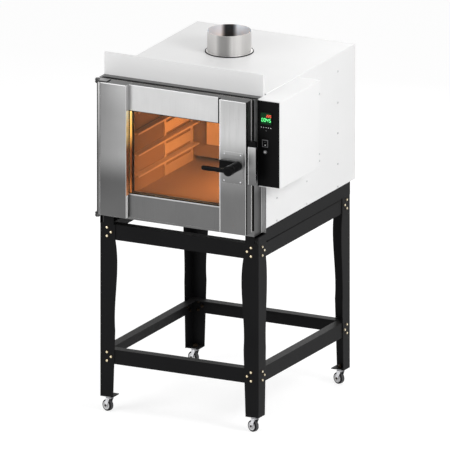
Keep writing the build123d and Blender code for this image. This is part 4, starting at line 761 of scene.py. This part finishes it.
def make_castors():
    """Swivel forks bent from strip with a pressed race, and wheels with a tread, a rim and a hub."""
    way = Vector((math.cos(CASTOR_ANGLE), math.sin(CASTOR_ANGLE), 0))
    axle = Vector((-way.y, way.x, 0))
    cheek = round_points(5.2, 190, 340, 10) + [(CASTOR_TRAIL + x, y) for x, y in (
        (4.6, 15), (6.4, 20), (9, 25.4), (9, 27.4), (-9, 27.4), (-8.6, 25), (-7.4, 19), (-12.6, 8))]
    for corner, spot in STUDS.items():
        hub = placed(spot - way * CASTOR_TRAIL * MM + mm(0, 0, WHEEL_RADIUS), way, UP, -axle)
        fork = bmesh.new()
        turned(fork, facing(spot, UP), [(4.3, 49.5), (10.4, 49.5), (12.6, 48.6), (13, 47.4), (12.4, 47.3),
                                        (4.3, 47.3)], 36)
        for side in (1, -1):
            outer = shifted(hub, 0, 0, side * CHEEK_OFFSET)
            slab(fork, outer, cheek, side * 2.0)
            turned(fork, outer, [(4.4, side * 2.0), (4.2, side * 3.0), (3.4, side * 3.6), (0, side * 3.6)], 24, 1)
        turned(fork, hub, [(3, -CHEEK_OFFSET), (3, CHEEK_OFFSET)], 24)
        slab(fork, placed(spot, way, axle, UP), rounded_outline(18, 23, 2), 49.2, 47.3)
        finish_piece(fork, f"castor_fork_{corner}", f"castor_{corner}", "fork_steel", "bright_zinc black_zinc",
                     f"fork_{corner}", bevel=0.6)

        wheel = bmesh.new()
        for half, slot in ((WHEEL_HUB, 1), (WHEEL_SHOULDER, 0)):
            for profile in (half, other_half(half)):
                turned(wheel, hub, profile, 48, slot)
        turned(wheel, hub, WHEEL_TREAD + other_half(WHEEL_TREAD), 48, 2)
        turned(wheel, hub, [(3.2, -8.4), (3.2, 8.4)], 48, 1)
        merge_close(wheel)
        for spoke in spread(hub, 6, 9):
            slab(wheel, spoke, rounded_outline(5, 1.6, 0.6, 3), 6.9, -6.9, 1)
        finish_piece(wheel, f"castor_wheel_{corner}", f"roller_{corner}", "wheel_rubber",
                     "wheel_rubber wheel_hub_plastic tread_rubber", f"wheel_{corner}")


# ---------------------------------------------------------------- casing details

CASING_BOTTOM, CASING_TOP = 711.0, 1186.0
CASING_FRONT, CASING_BACK = -248.0, 417.0
CONTROL_BACK = -12.0
SCREW_COLUMNS = (80.0, 304.0, 535.0)


def pan_head(mesh, place, radius, height=1.8, shank=9.0):
    """Adds a domed screw with a cross recess in its head and a shank behind."""
    dome = ((0.34, 0.55), (0.36, 0.98), (0.62, 0.9), (0.88, 0.6), (1, 0.18), (1, 0))
    turned(mesh, place, [(radius * out, height * rise) for out, rise in dome]
           + [(2, 0), (2, -shank), (0, -shank)], 24)
    turned(mesh, place, [(0, height * 0.4), (radius * 0.34, height * 0.55)], 24)
    for arm in spread(place, 4, radius * 0.3, 0.5):
        slab(mesh, arm, rounded_outline(radius * 0.34, radius * 0.16, radius * 0.05, 2), height * 0.9, height * 0.3)


def make_casing_screws():
    """All pan-head screws of the casing, the control box and the keeper."""
    columns = [CASING_FRONT + depth for depth in SCREW_COLUMNS]
    rows = [(y, row) for row in (6.0, 86.0) for y in columns] + [(columns[-1], row) for row in (194.0, 302.0, 412.0)]
    spots = [(x, y, CASING_BOTTOM + row, (side, 0, 0)) for y, row in rows for x, side in ((RIGHT, 1), (LEFT, -1))]
    spots += [(x, CASING_BACK, CASING_BOTTOM + 475 * share, (0, 1, 0))
              for x in (LEFT + 8, RIGHT - 8) for share in (0.08, 0.5, 0.92)]
    spots += [(RIGHT + 85, CONTROL_BACK - 6.5, z, (1, 0, 0)) for z in (900.0, 924.0, 1136.0)]
    low, high = (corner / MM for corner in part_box("latch_keeper"))
    spots += [(low.x + 3, (high.y - 308) / 2, low.z + (high.z - low.z) * share, (1, 0, 0)) for share in (0.15, 0.85)]
    mesh = bmesh.new()
    for x, y, z, way in spots:
        pan_head(mesh, facing(mm(x, y, z), way), 3.8)
    finish_piece(mesh, "casing_screw_set", "oven", "screws", "screw_zinc", "cabinet_screws")


def make_plate_screws():
    """Four bright screws of the handle plate."""
    low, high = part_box("handle_plate")
    mesh = bmesh.new()
    for x in (low.x + 0.009, high.x - 0.009):
        for z in (low.z + 0.009, high.z - 0.009):
            pan_head(mesh, facing(Vector((x, low.y, z)), (0, -1, 0)), 3.2)
    finish_piece(mesh, "plate_screw_set", "door", "screws", "bright_zinc", "door_screws")


def make_louvres():
    """Pressed hoods over the slots of the back panel."""
    mesh = bmesh.new()
    section = [(0, 4.6), (1.4, 4.4), (3.0, 3.2), (3.9, 1.2), (4.2, -1.6)]
    for column in range(3):
        for row in range(9):
            x = (LEFT + RIGHT) / 2 + (column - 1) * 130.0
            z = (CASING_BOTTOM + CASING_TOP) / 2 + (row - 4) * 14.0 + 1
            rings = []
            for k in range(17):
                along = -1 + k / 8
                lift = max(0.0, 1 - abs(along) ** 6) ** 0.5
                rings.append(ring(mesh, Matrix(), [
                    (x + along * 48, CASING_BACK + 0.05 + out * lift, z + (rise - 1) * (0.35 + 0.65 * lift))
                    for out, rise in section]))
            join_rings(mesh, rings, closed=False)
    hoods = finish_piece(mesh, "louvre_hoods", "oven", "casing_paint", "casing_powder_coat")
    wall = hoods.modifiers.new("sheet", "SOLIDIFY")
    wall.thickness = 0.8 * MM
    wall.offset = -1


def make_flue():
    """Rolled steel collar: thin wall, rolled rim, ring on the roof and a lapped seam."""
    foot, top = (corner.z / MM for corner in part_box("flue_collar"))
    mesh = bmesh.new()
    place = facing(Vector((flue_middle.x, flue_middle.y, 0)), UP)
    profile = [(73.8, foot), (73.8, top - 2.4), (73.9, top - 0.8), (74.6, top - 0.1), (75.4, top - 0.2),
               (75.9, top - 1.1), (75.6, top - 2.1), (75.0, top - 2.6), (75.0, 1190.0), (75.6, 1189.2),
               (79.0, 1189.0), (80.0, 1188.2), (80.0, 1186.05), (75.0, 1186.05), (75.0, foot), (73.8, foot)]
    turned(mesh, place, profile[:3], 120, 1)
    turned(mesh, place, profile[2:], 120)
    merge_close(mesh)
    lap = ((74.9, 1190.5), (75.5, 1191.0), (75.5, top - 3.4), (74.9, top - 3.0))
    join_rings(mesh, [ring(mesh, place, [polar(*point, math.radians(angle)) for point in lap])
                      for angle in (118, 119.5, 121, 122.5, 124)], caps=True)
    # black rubber ring round the foot of the roof ring: a painted shade line
    turned(mesh, place, [(80.0, 1186.05), (82.8, 1186.05), (82.8, 1188.0), (81.8, 1188.8), (79.9, 1188.8)], 120, 2)
    finish_piece(mesh, "flue_tube", "oven", "steel", "flue_outside flue_inside gasket_rubber", "flue_collar")


def finish_strips(name, body, slot, finish, *strips):
    """Makes one piece of straight strips, each given by its two ends in X, Y and Z in millimetres."""
    mesh = bmesh.new()
    for x0, x1, y0, y1, z0, z1 in strips:
        outline = rounded_outline(x1 - x0, y1 - y0, min(x1 - x0, y1 - y0) * 0.3, 3)
        slab(mesh, Matrix.Translation(mm((x0 + x1) / 2, (y0 + y1) / 2, z0)), outline, z1 - z0)
    finish_piece(mesh, name, body, slot, finish)


def make_door_trims():
    """Painted highlights and painted shade of the door: bright strips at the folds and edges, dark strips in the
    corners and gaps, and a warm strip at the sill.
    """
    (low, high), (low_right, high_right), rails, glass = (
        [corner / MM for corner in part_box(node)]
        for node in ("door_left_stile", "door_right_stile", "door_rails", "door_glass"))
    left, inner_left, inner_right, right = low.x, high.x, low_right.x, high_right.x
    face, recess, back = low.y, rails[0].y, high.y
    foot, sill, lintel, top = low.z + 0.6, glass[0].z + 8, glass[1].z - 8, high.z - 0.4
    # bright hems at the left edge and in the window reveal: painted highlight and painted reflection
    finish_strips("stile_hem_highlights", "door", "steel", "hem_highlight_steel",
                  (left + 1.7, left + 8.6, face - 0.6, face + 0.2, foot, top),
                  (inner_left - 0.1, inner_left + 0.7, face - 0.3, recess - 5.6, foot, sill),
                  (inner_left - 0.1, inner_left + 0.7, face - 0.3, recess - 0.8, lintel, top))
    # painted reflection of the warm cavity glow on the reveal and the tunnel side beside the window
    finish_strips("window_glow_reflection_strips", "door", "steel", "painted_glow_reflection_steel",
                  (inner_left - 0.1, inner_left + 0.7, face - 0.3, recess - 0.8, sill, lintel),
                  (inner_left + 1.8, inner_left + 2.9, recess + 5.8, back - 4.3, sill + 0.1, lintel - 0.1))
    # darker line beside the left hem: painted shade
    finish_strips("stile_shade_groove", "door", "steel", "frame_steel",
                  (left + 8.6, left + 11.6, face - 0.3, face + 0.2, foot, top))
    # bright lines on the right stile's edge, the top edges, the sill and the right back edge: painted highlights
    finish_strips("door_highlight_strips", "door", "steel", "highlight_trim_steel",
                  (inner_right - 0.2, inner_right + 3.6, face - 0.7, face + 1.0, foot, top),
                  (left + 11.8, inner_left - 0.2, face - 0.5, face + 0.6, top - 2.6, top + 0.1),
                  (inner_left + 2.0, inner_right - 14.6, recess - 0.6, recess + 0.6, top - 2.6, top + 0.1),
                  (inner_right + 3.8, right - 0.2, face - 0.5, face + 0.6, top - 2.6, top + 0.1),
                  (inner_left + 1.0, inner_right - 0.4, recess - 0.6, recess + 0.2, sill - 0.2, sill + 4.2),
                  (right - 0.2, right + 0.4, back - 5.6, back - 2.9, foot, top))
    # dark strips along the edges, in the recess corners and at the sill and lintel: painted shade
    finish_strips("door_shade_strips", "door", "gasket", "gasket_rubber",
                  (left - 2.0, left + 1.6, face - 0.4, face + 6.0, foot, top),
                  (inner_left - 0.1, inner_left + 0.8, recess - 5.6, recess + 0.2, foot, sill - 0.2),
                  (inner_right - 14.4, inner_right - 0.4, recess - 0.8, recess + 0.2, lintel, top),
                  (right - 0.1, right + 0.5, face + 0.3, face + 9.4, foot, top),
                  (inner_left + 0.8, inner_right - 0.4, recess + 0.2, recess + 1.5, sill - 0.1, sill + 7.4),
                  (inner_left + 0.8, inner_right - 0.4, recess + 0.1, recess + 1.5, lintel - 2.0, lintel))
    # warm strip at the inner pane's foot: it covers the shade there with the cavity's painted warm tone
    finish_strips("glazing_bead", "door", "steel", "cavity_steel",
                  (inner_left + 3.0, inner_right - 2.0, back - 6.4, back - 4.2, sill - 0.1, sill + 8.4))


def make_body_trims():
    """Painted shade and painted highlights on the body: dark strips in the gap round the door, on the hood, the frame,
    the casing and the beams, and bright strips on the frame and the keeper.
    """
    left, right, front, edge = -326.9, 244.1, -308.0, CASING_FRONT
    box_low, box_high, keeper_low, keeper_high, _, hood_high = (
        corner / MM for node in ("control_box", "latch_keeper", "hood_plate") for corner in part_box(node))
    hood_top = hood_high.z
    # black strips where there is only shade: under the hood, along its top, in the gap right of the door, by the frame
    # flange, at the control box's left edge and under the top rails of both sides
    finish_strips("body_shade_strips", "oven", "gasket", "gasket_rubber",
                  (left + 9, right - 4, front - 8.4, front + 0.1, 1175.6, 1179.0),
                  (left - 7, right + 12, front - 0.2, front + 10.5, hood_top - 0.1, hood_top + 0.8),
                  (right - 11.4, right - 0.4, front - 1.4, front + 0.1, 715, 1175.4),
                  (right + 13.2, RIGHT, edge - 2.5, edge - 1.4, 696, box_low.z - 0.2),
                  (RIGHT - 0.1, RIGHT + 3.2, box_low.y - 0.9, box_low.y + 0.1, box_low.z + 0.4, box_high.z - 0.4),
                  (RIGHT - 2.6, RIGHT, FRONT + 66, BACK - 66, LEG_TOP - 5.0, LEG_TOP + 0.1),
                  (LEFT, LEFT + 2.6, FRONT + 66, BACK - 66, LEG_TOP - 5.0, LEG_TOP + 0.1))
    # bright strips on the keeper, the frame's edges and its flange: painted highlights
    finish_strips("frame_highlight_strips", "oven", "steel", "highlight_trim_steel",
                  (keeper_low.x - 0.3, keeper_low.x + 2.4, keeper_low.y - 0.3, keeper_low.y + 0.5,
                   keeper_low.z + 0.4, keeper_high.z - 0.4),
                  (right - 0.1, right + 1.9, edge - 8.0, edge - 4.0, 696, 1178),
                  (left - 1.9, left + 0.1, edge - 8.0, edge - 4.0, 696, 1178),
                  (right + 2.1, right + 13.0, edge - 2.5, edge - 1.4, 696, box_low.z - 0.2))
    # grey lines at the control box's back and bottom edges: painted shade where it meets the casing
    finish_strips("control_box_shade_line", "oven", "gasket", "grey_rubber",
                  (RIGHT, RIGHT + 1.2, box_high.y - 0.2, box_high.y + 1.2, box_low.z, box_high.z),
                  (RIGHT, RIGHT + 1.2, box_low.y + 2, box_high.y + 1.2, box_low.z - 1.2, box_low.z + 0.2))


def make_cable_gland():
    """Cable gland: hexagon, ribbed clamping cap with a soft round end, and its nut inside."""
    middle = middle_of("cable_gland")
    place = facing(Vector((middle.x, CASING_BACK * MM, middle.z)), (0, 1, 0))
    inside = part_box("cable_gland")[0].y / MM - CASING_BACK
    mesh = bmesh.new()
    hex_head(mesh, place, 30, 0, 6, 1.0)
    turned(mesh, place, [(12.9, 6), (12.9, 16), (12.2, 19.5), (10.6, 22.6), (8.4, 24), (7.4, 23.6), (7.0, 22),
                         (7.0, inside), (10, inside), (10, -1.5)], 48)
    for rib in spread(place, 18, 12.9):
        slab(mesh, rib, rounded_outline(1.0, 1.8, 0.4, 3), 17, 6)
    hex_head(mesh, place @ TURN_OVER, 30, 1.5, 7.5, 1.0)
    finish_piece(mesh, "gland_body", "oven", "black_plastic", "black_plastic", "cable_gland")


# ---------------------------------------------------------------- cavity details

def make_lamp():
    """Oven lamp: a steel socket ring, a ribbed frosted lens and the glowing bulb behind it."""
    middle = middle_of("cavity_lamp")
    place = facing(Vector((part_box("cavity_lamp")[0].x + 0.007, middle.y, middle.z)), (-1, 0, 0))
    mesh = bmesh.new()
    turned(mesh, place, [(0, -42), (20, -42), (22, -40), (22, 0), (28, 0), (28, 1.6), (27.2, 2.4), (25.4, 2.6),
                         (24.8, 1.4)], 60, 1)
    ribs = [(24.6 * out, 6.9 - 5.2 * out ** 2.4 + 0.12 * (step % 2))
            for step, out in ((step, 1 - step / 11) for step in range(11))]
    turned(mesh, place, [(24.8, 1.0), *ribs, (0, 6.9)], 60)
    finish_piece(mesh, "lamp_lens", "oven", "lamp_glass", "lens_glass bright_zinc", "cavity_lamp")
    bulb = bmesh.new()
    turned(bulb, place, [(0, -1), (6, -2), (9, -5), (9.6, -10), (7, -16), (5, -20), (0, -20)], 32)
    finish_piece(bulb, "lamp_bulb", "oven", "lamp_glass", "lamp_filament")


def make_gasket():
    """Soft bulb seal with a flat foot round the cavity mouth."""
    low, high = (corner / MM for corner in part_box("door_gasket"))
    bulb = [(7 + 4.4 * math.cos(angle), high.y - low.y - 4.4 + 4.4 * math.sin(angle))
            for angle in (math.radians(205 - 230 * k / 8) for k in range(9))]
    mesh = bmesh.new()
    ring_round(mesh, (low.x, low.z), (high.x, high.z), high.y,
               [(0.4, 0), (0.4, 2.2), (3.0, 2.6), *bulb, (11.0, 2.6), (13.6, 2.2), (13.6, 0)])
    finish_piece(mesh, "door_seal", "oven", "gasket", "gasket_rubber", "door_gasket", sharp=50)


# ---------------------------------------------------------------- handle

HANDLE_X, HANDLE_Z = 209.5, 955.0
PLATE_FRONT, PLATE_LEFT = -365.0, 149.5
handle_place = toward_front(HANDLE_X, PLATE_FRONT, HANDLE_Z)


def make_handle_base():
    """Black base: square at its left end and round about the handle, with a long stepped hub."""
    block = bmesh.new()
    left = PLATE_LEFT - HANDLE_X - 4
    slab(block, handle_place, round_points(17, -90, 90, 10) + [
        (left + 2, 17), (left + 0.6, 16.4), (left, 15), (left, -15), (left + 0.6, -16.4), (left + 2, -17)], 12.4)
    finish_piece(block, "handle_base_block", "door", "black_plastic", "black_plastic", "handle_base", bevel=2.4,
                 segments=4)
    hub = bmesh.new()
    turned(hub, handle_place, [(5.05, 0.2), (16.5, 0.2), (16.5, 46), (16.2, 47), (15.2, 47.4), (15.2, 48.8),
                               (16.2, 49.2), (16.5, 50.2), (16.5, 51.4), (15.9, 52), (5.05, 52), (5.05, 0.2)], 72)
    merge_close(hub)
    finish_piece(hub, "handle_hub", "door", "black_plastic", "black_plastic", sharp=28)


def oval(tall, deep, sides=32):
    """Gives an oval section with full sides, as its reach up and out."""
    for k in range(sides):
        angle = math.tau * k / sides
        yield [math.copysign(abs(share) ** 0.72, share) * reach
               for share, reach in ((math.cos(angle), tall), (math.sin(angle), deep))]


def make_handle_lever():
    """Lever: a round boss with a raised rim and a cap, and an arm with an oval section, slimmer in its middle and
    rounded off at its end.
    """
    grip = bmesh.new()
    turned(grip, handle_place, [(0, 53), (16.4, 53), (17.5, 54.2), (17.5, 73.4), (17.0, 74.8), (15.4, 75.8),
                                (13.4, 76), (12.8, 75.4), (12.2, 75.4), (11.6, 75.9), (6, 75.95), (0, 76)], 72)
    sections = ((-6, 8.2, 7.2, 68.6), (-16, 8.2, 6.6, 68.6), (-26, 7.9, 6.0, 69), (-45, 7.6, 5.8, 69),
                (-65, 7.7, 5.8, 69), (-82, 8.1, 6.0, 69), (-92, 8.2, 6.0, 69), (-98, 7.4, 5.4, 69),
                (-101, 5.0, 3.8, 69), (-101.8, 2.0, 1.6, 69))
    rings = [ring(grip, handle_place, [(x, up, middle + out) for up, out in oval(tall, deep)])
             for x, tall, deep, middle in sections]
    join_rings(grip, rings + [ring(grip, handle_place, [(-102, 0, 69)])], caps=True)
    finish_piece(grip, "lever_grip", "handle", "black_plastic", "black_plastic", "handle_lever", sharp=28)
    steel = bmesh.new()
    turned(steel, handle_place, [(0, 52.9), (5, 52.9), (5, -24.9), (0, -24.9)], 32)
    slab(steel, handle_place, round_points(7.5, 90, 270, 15) + round_points(6, -90, 90, 15, (12, 0)), -22, -27)
    turned(steel, shifted(handle_place, 12), [(0, -26.9), (3, -26.9), (3, -33.2), (2.6, -33.6), (0, -33.6)], 24)
    finish_piece(steel, "lever_spindle", "handle", "steel", "bright_zinc", bevel=0.3, segments=2)


# ---------------------------------------------------------------- controls

CONTROLS_X, DISPLAY_Z, PANEL_Y = 290.6, 1119.0, -311.0
DIGIT_BARS = {"0": "abcdef", "2": "abged", "4": "fgbc", "5": "afgcd"}
DIGIT_SLANT = 0.08


def add_digit(mesh, place, digit, width, height, stroke):
    """Adds the lit bars of one seven-bar digit, each a bar with pointed ends."""
    side, half = width / 2, height / 2
    bars = {"a": (0, half, 0), "g": (0, 0, 0), "d": (0, -half, 0), "f": (-side, half / 2, 1),
            "b": (side, half / 2, 1), "e": (-side, -half / 2, 1), "c": (side, -half / 2, 1)}
    for bar in DIGIT_BARS[digit]:
        x, y, upright = bars[bar]
        reach, thick = (half if upright else width) / 2 - stroke * 0.18, stroke / 2
        neck = reach - thick
        outline = [(-reach, 0), (-neck, -thick), (neck, -thick), (reach, 0), (neck, thick), (-neck, thick)]
        if upright:
            outline = [(-b, a) for a, b in outline]
        slab(mesh, place, [(x + a + (y + b) * DIGIT_SLANT, y + b) for a, b in outline], 0.35)


def make_display():
    """Controller with a chamfered bezel, a dark screen and two rows of lit digits."""
    place = toward_front(CONTROLS_X, PANEL_Y, DISPLAY_Z)
    case = bmesh.new()
    rings = [ring(case, place, [(x, y, height) for x, y in rounded_outline(size, size, corner)])
             for size, corner, height in ((48, 3, 0), (48, 3, 2), (46.4, 2.4, 3), (40.6, 1.6, 3), (39.4, 1.2, 2))]
    join_rings(case, rings)
    case.faces.new(rings[-1]).material_index = 1
    case.faces.new(rings[0][::-1])
    slab(case, place, rounded_outline(44.6, 44.6, 1.0), 0.2, PANEL_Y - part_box("display_module")[1].y / MM)
    finish_piece(case, "display_case", "oven", "black_plastic", "panel_plastic screen_glass", "display_module")

    red, green = bmesh.new(), bmesh.new()
    for k, digit in enumerate("220"):
        add_digit(red, shifted(place, 4.6 + k * 6.4, 9.6, 2.05), digit, 4.0, 7.6, 1.1)
    finish_piece(red, "red_digits", "oven", "panel", "red_segments")
    for k, digit in enumerate("0045"):
        add_digit(green, shifted(place, -13.4 + k * 9.4, -5.2, 2.05), digit, 5.8, 11.2, 1.6)
    for rise in (-2.4, 2.4):
        slab(green, shifted(place, 0.7, -5.2 + rise, 2.05), rounded_outline(1.5, 1.5, 0.6, 3), 0.35)
    finish_piece(green, "green_digits", "oven", "panel", "green_segments")


def domed_cap(middle, outer, dome, sides):
    """Makes a cap in its collar: both are turned profiles on the control panel, the collar in the second slot."""
    mesh = bmesh.new()
    place = toward_front(middle.x / MM, PANEL_Y, middle.z / MM)
    turned(mesh, place, outer, sides, 1)
    turned(mesh, place, outer[-1:] + dome, sides)
    merge_close(mesh)
    return mesh


def make_keys():
    """Six small domed keys; the last one is dark."""
    for key in range(1, 7):
        cap = domed_cap(middle_of(f"key_{key}"), [(0, -3.05), (3.4, -3.05), (3.4, -2.05), (2.2, -2.05), (2.2, 0.5),
                                                  (1.9, 0.8), (1.5, 0.84)], [(1.2, 1.0), (0, 1.05)], 28)
        tone = "key_plastic" if key < 6 else "dark_key_plastic"
        finish_piece(cap, f"key_cap_{key}", f"key_cap_{key}", "key_plastic", f"{tone} panel_plastic", f"key_{key}")


ROCKER_PIVOT = (287.6, PANEL_Y + 2.5, 1031.0)
ROCKER_ROLL = 12.2


def make_rocker():
    """Rocker switch with a hollowed face and two plain marks, in its frame."""
    place = toward_front(*ROCKER_PIVOT) @ Matrix.Rotation(math.radians(8), 4, "X")
    front, back = 6.1, -4.4
    low_reach = math.sqrt(ROCKER_ROLL ** 2 - back ** 2) * 0.96
    outline = [(front - 1.3 * (1 - abs(up) ** 1.6), up * ROCKER_ROLL * 0.9)
               for up in ((k / 6 - 1) * 0.985 for k in range(13))]
    outline += [(1.2, ROCKER_ROLL * 0.99), (back, low_reach), (back, -low_reach), (1.2, -ROCKER_ROLL * 0.99)]
    cap = bmesh.new()
    join_rings(cap, [ring(cap, place, [(x, up * shrink, out * shrink) for out, up in outline])
                     for x, shrink in ((-8.2, 0.96), (-7.6, 1), (7.6, 1), (8.2, 0.96))], caps=True)
    for rise, size, out, slot in ((5.6, 2.6, 5.05, 2), (-5.4, 4.6, 4.9, 1)):
        slab(cap, shifted(place, 0, rise, out), rounded_outline(size, size, size * 0.48, 5), 0.5, 0, slot)
    finish_piece(cap, "rocker_cap", "rocker", "black_plastic", "black_plastic key_plastic dark_key_plastic",
                 "rocker_switch")
    surround = bmesh.new()
    ring_round(surround, (276.6, 1018.4), (298.6, 1043.8), PANEL_Y - 2,
               [(0, -0.1), (0, 1.0), (0.5, 1.4), (1.4, 1.4), (1.8, 1.0), (1.8, -0.1)])
    finish_piece(surround, "rocker_frame", "oven", "black_plastic", "dark_key_plastic", sharp=50)


def make_push_button():
    """Round push button in its collar."""
    push = domed_cap(middle_of("push_button"), [
        (0, -3.05), (7.7, -3.05), (7.7, -2.05), (6.5, -2.05), (6.5, 3.0), (6.1, 3.7), (5.0, 4.0), (3.4, 3.8),
        (2.9, 3.5)], [(2.6, 3.9), (0, 4.0)], 40)
    finish_piece(push, "push_cap", "push", "key_plastic", "key_plastic dark_key_plastic", "push_button")


make_camera()
make_studio()
make_oven_light()
make_stand_fasteners()
make_castors()
make_casing_screws()
make_plate_screws()
make_louvres()
make_flue()
make_door_trims()
make_body_trims()
make_cable_gland()
make_lamp()
make_gasket()
make_handle_base()
make_handle_lever()
make_display()
make_keys()
make_rocker()
make_push_button()

scene.view_settings.view_transform = "Standard"
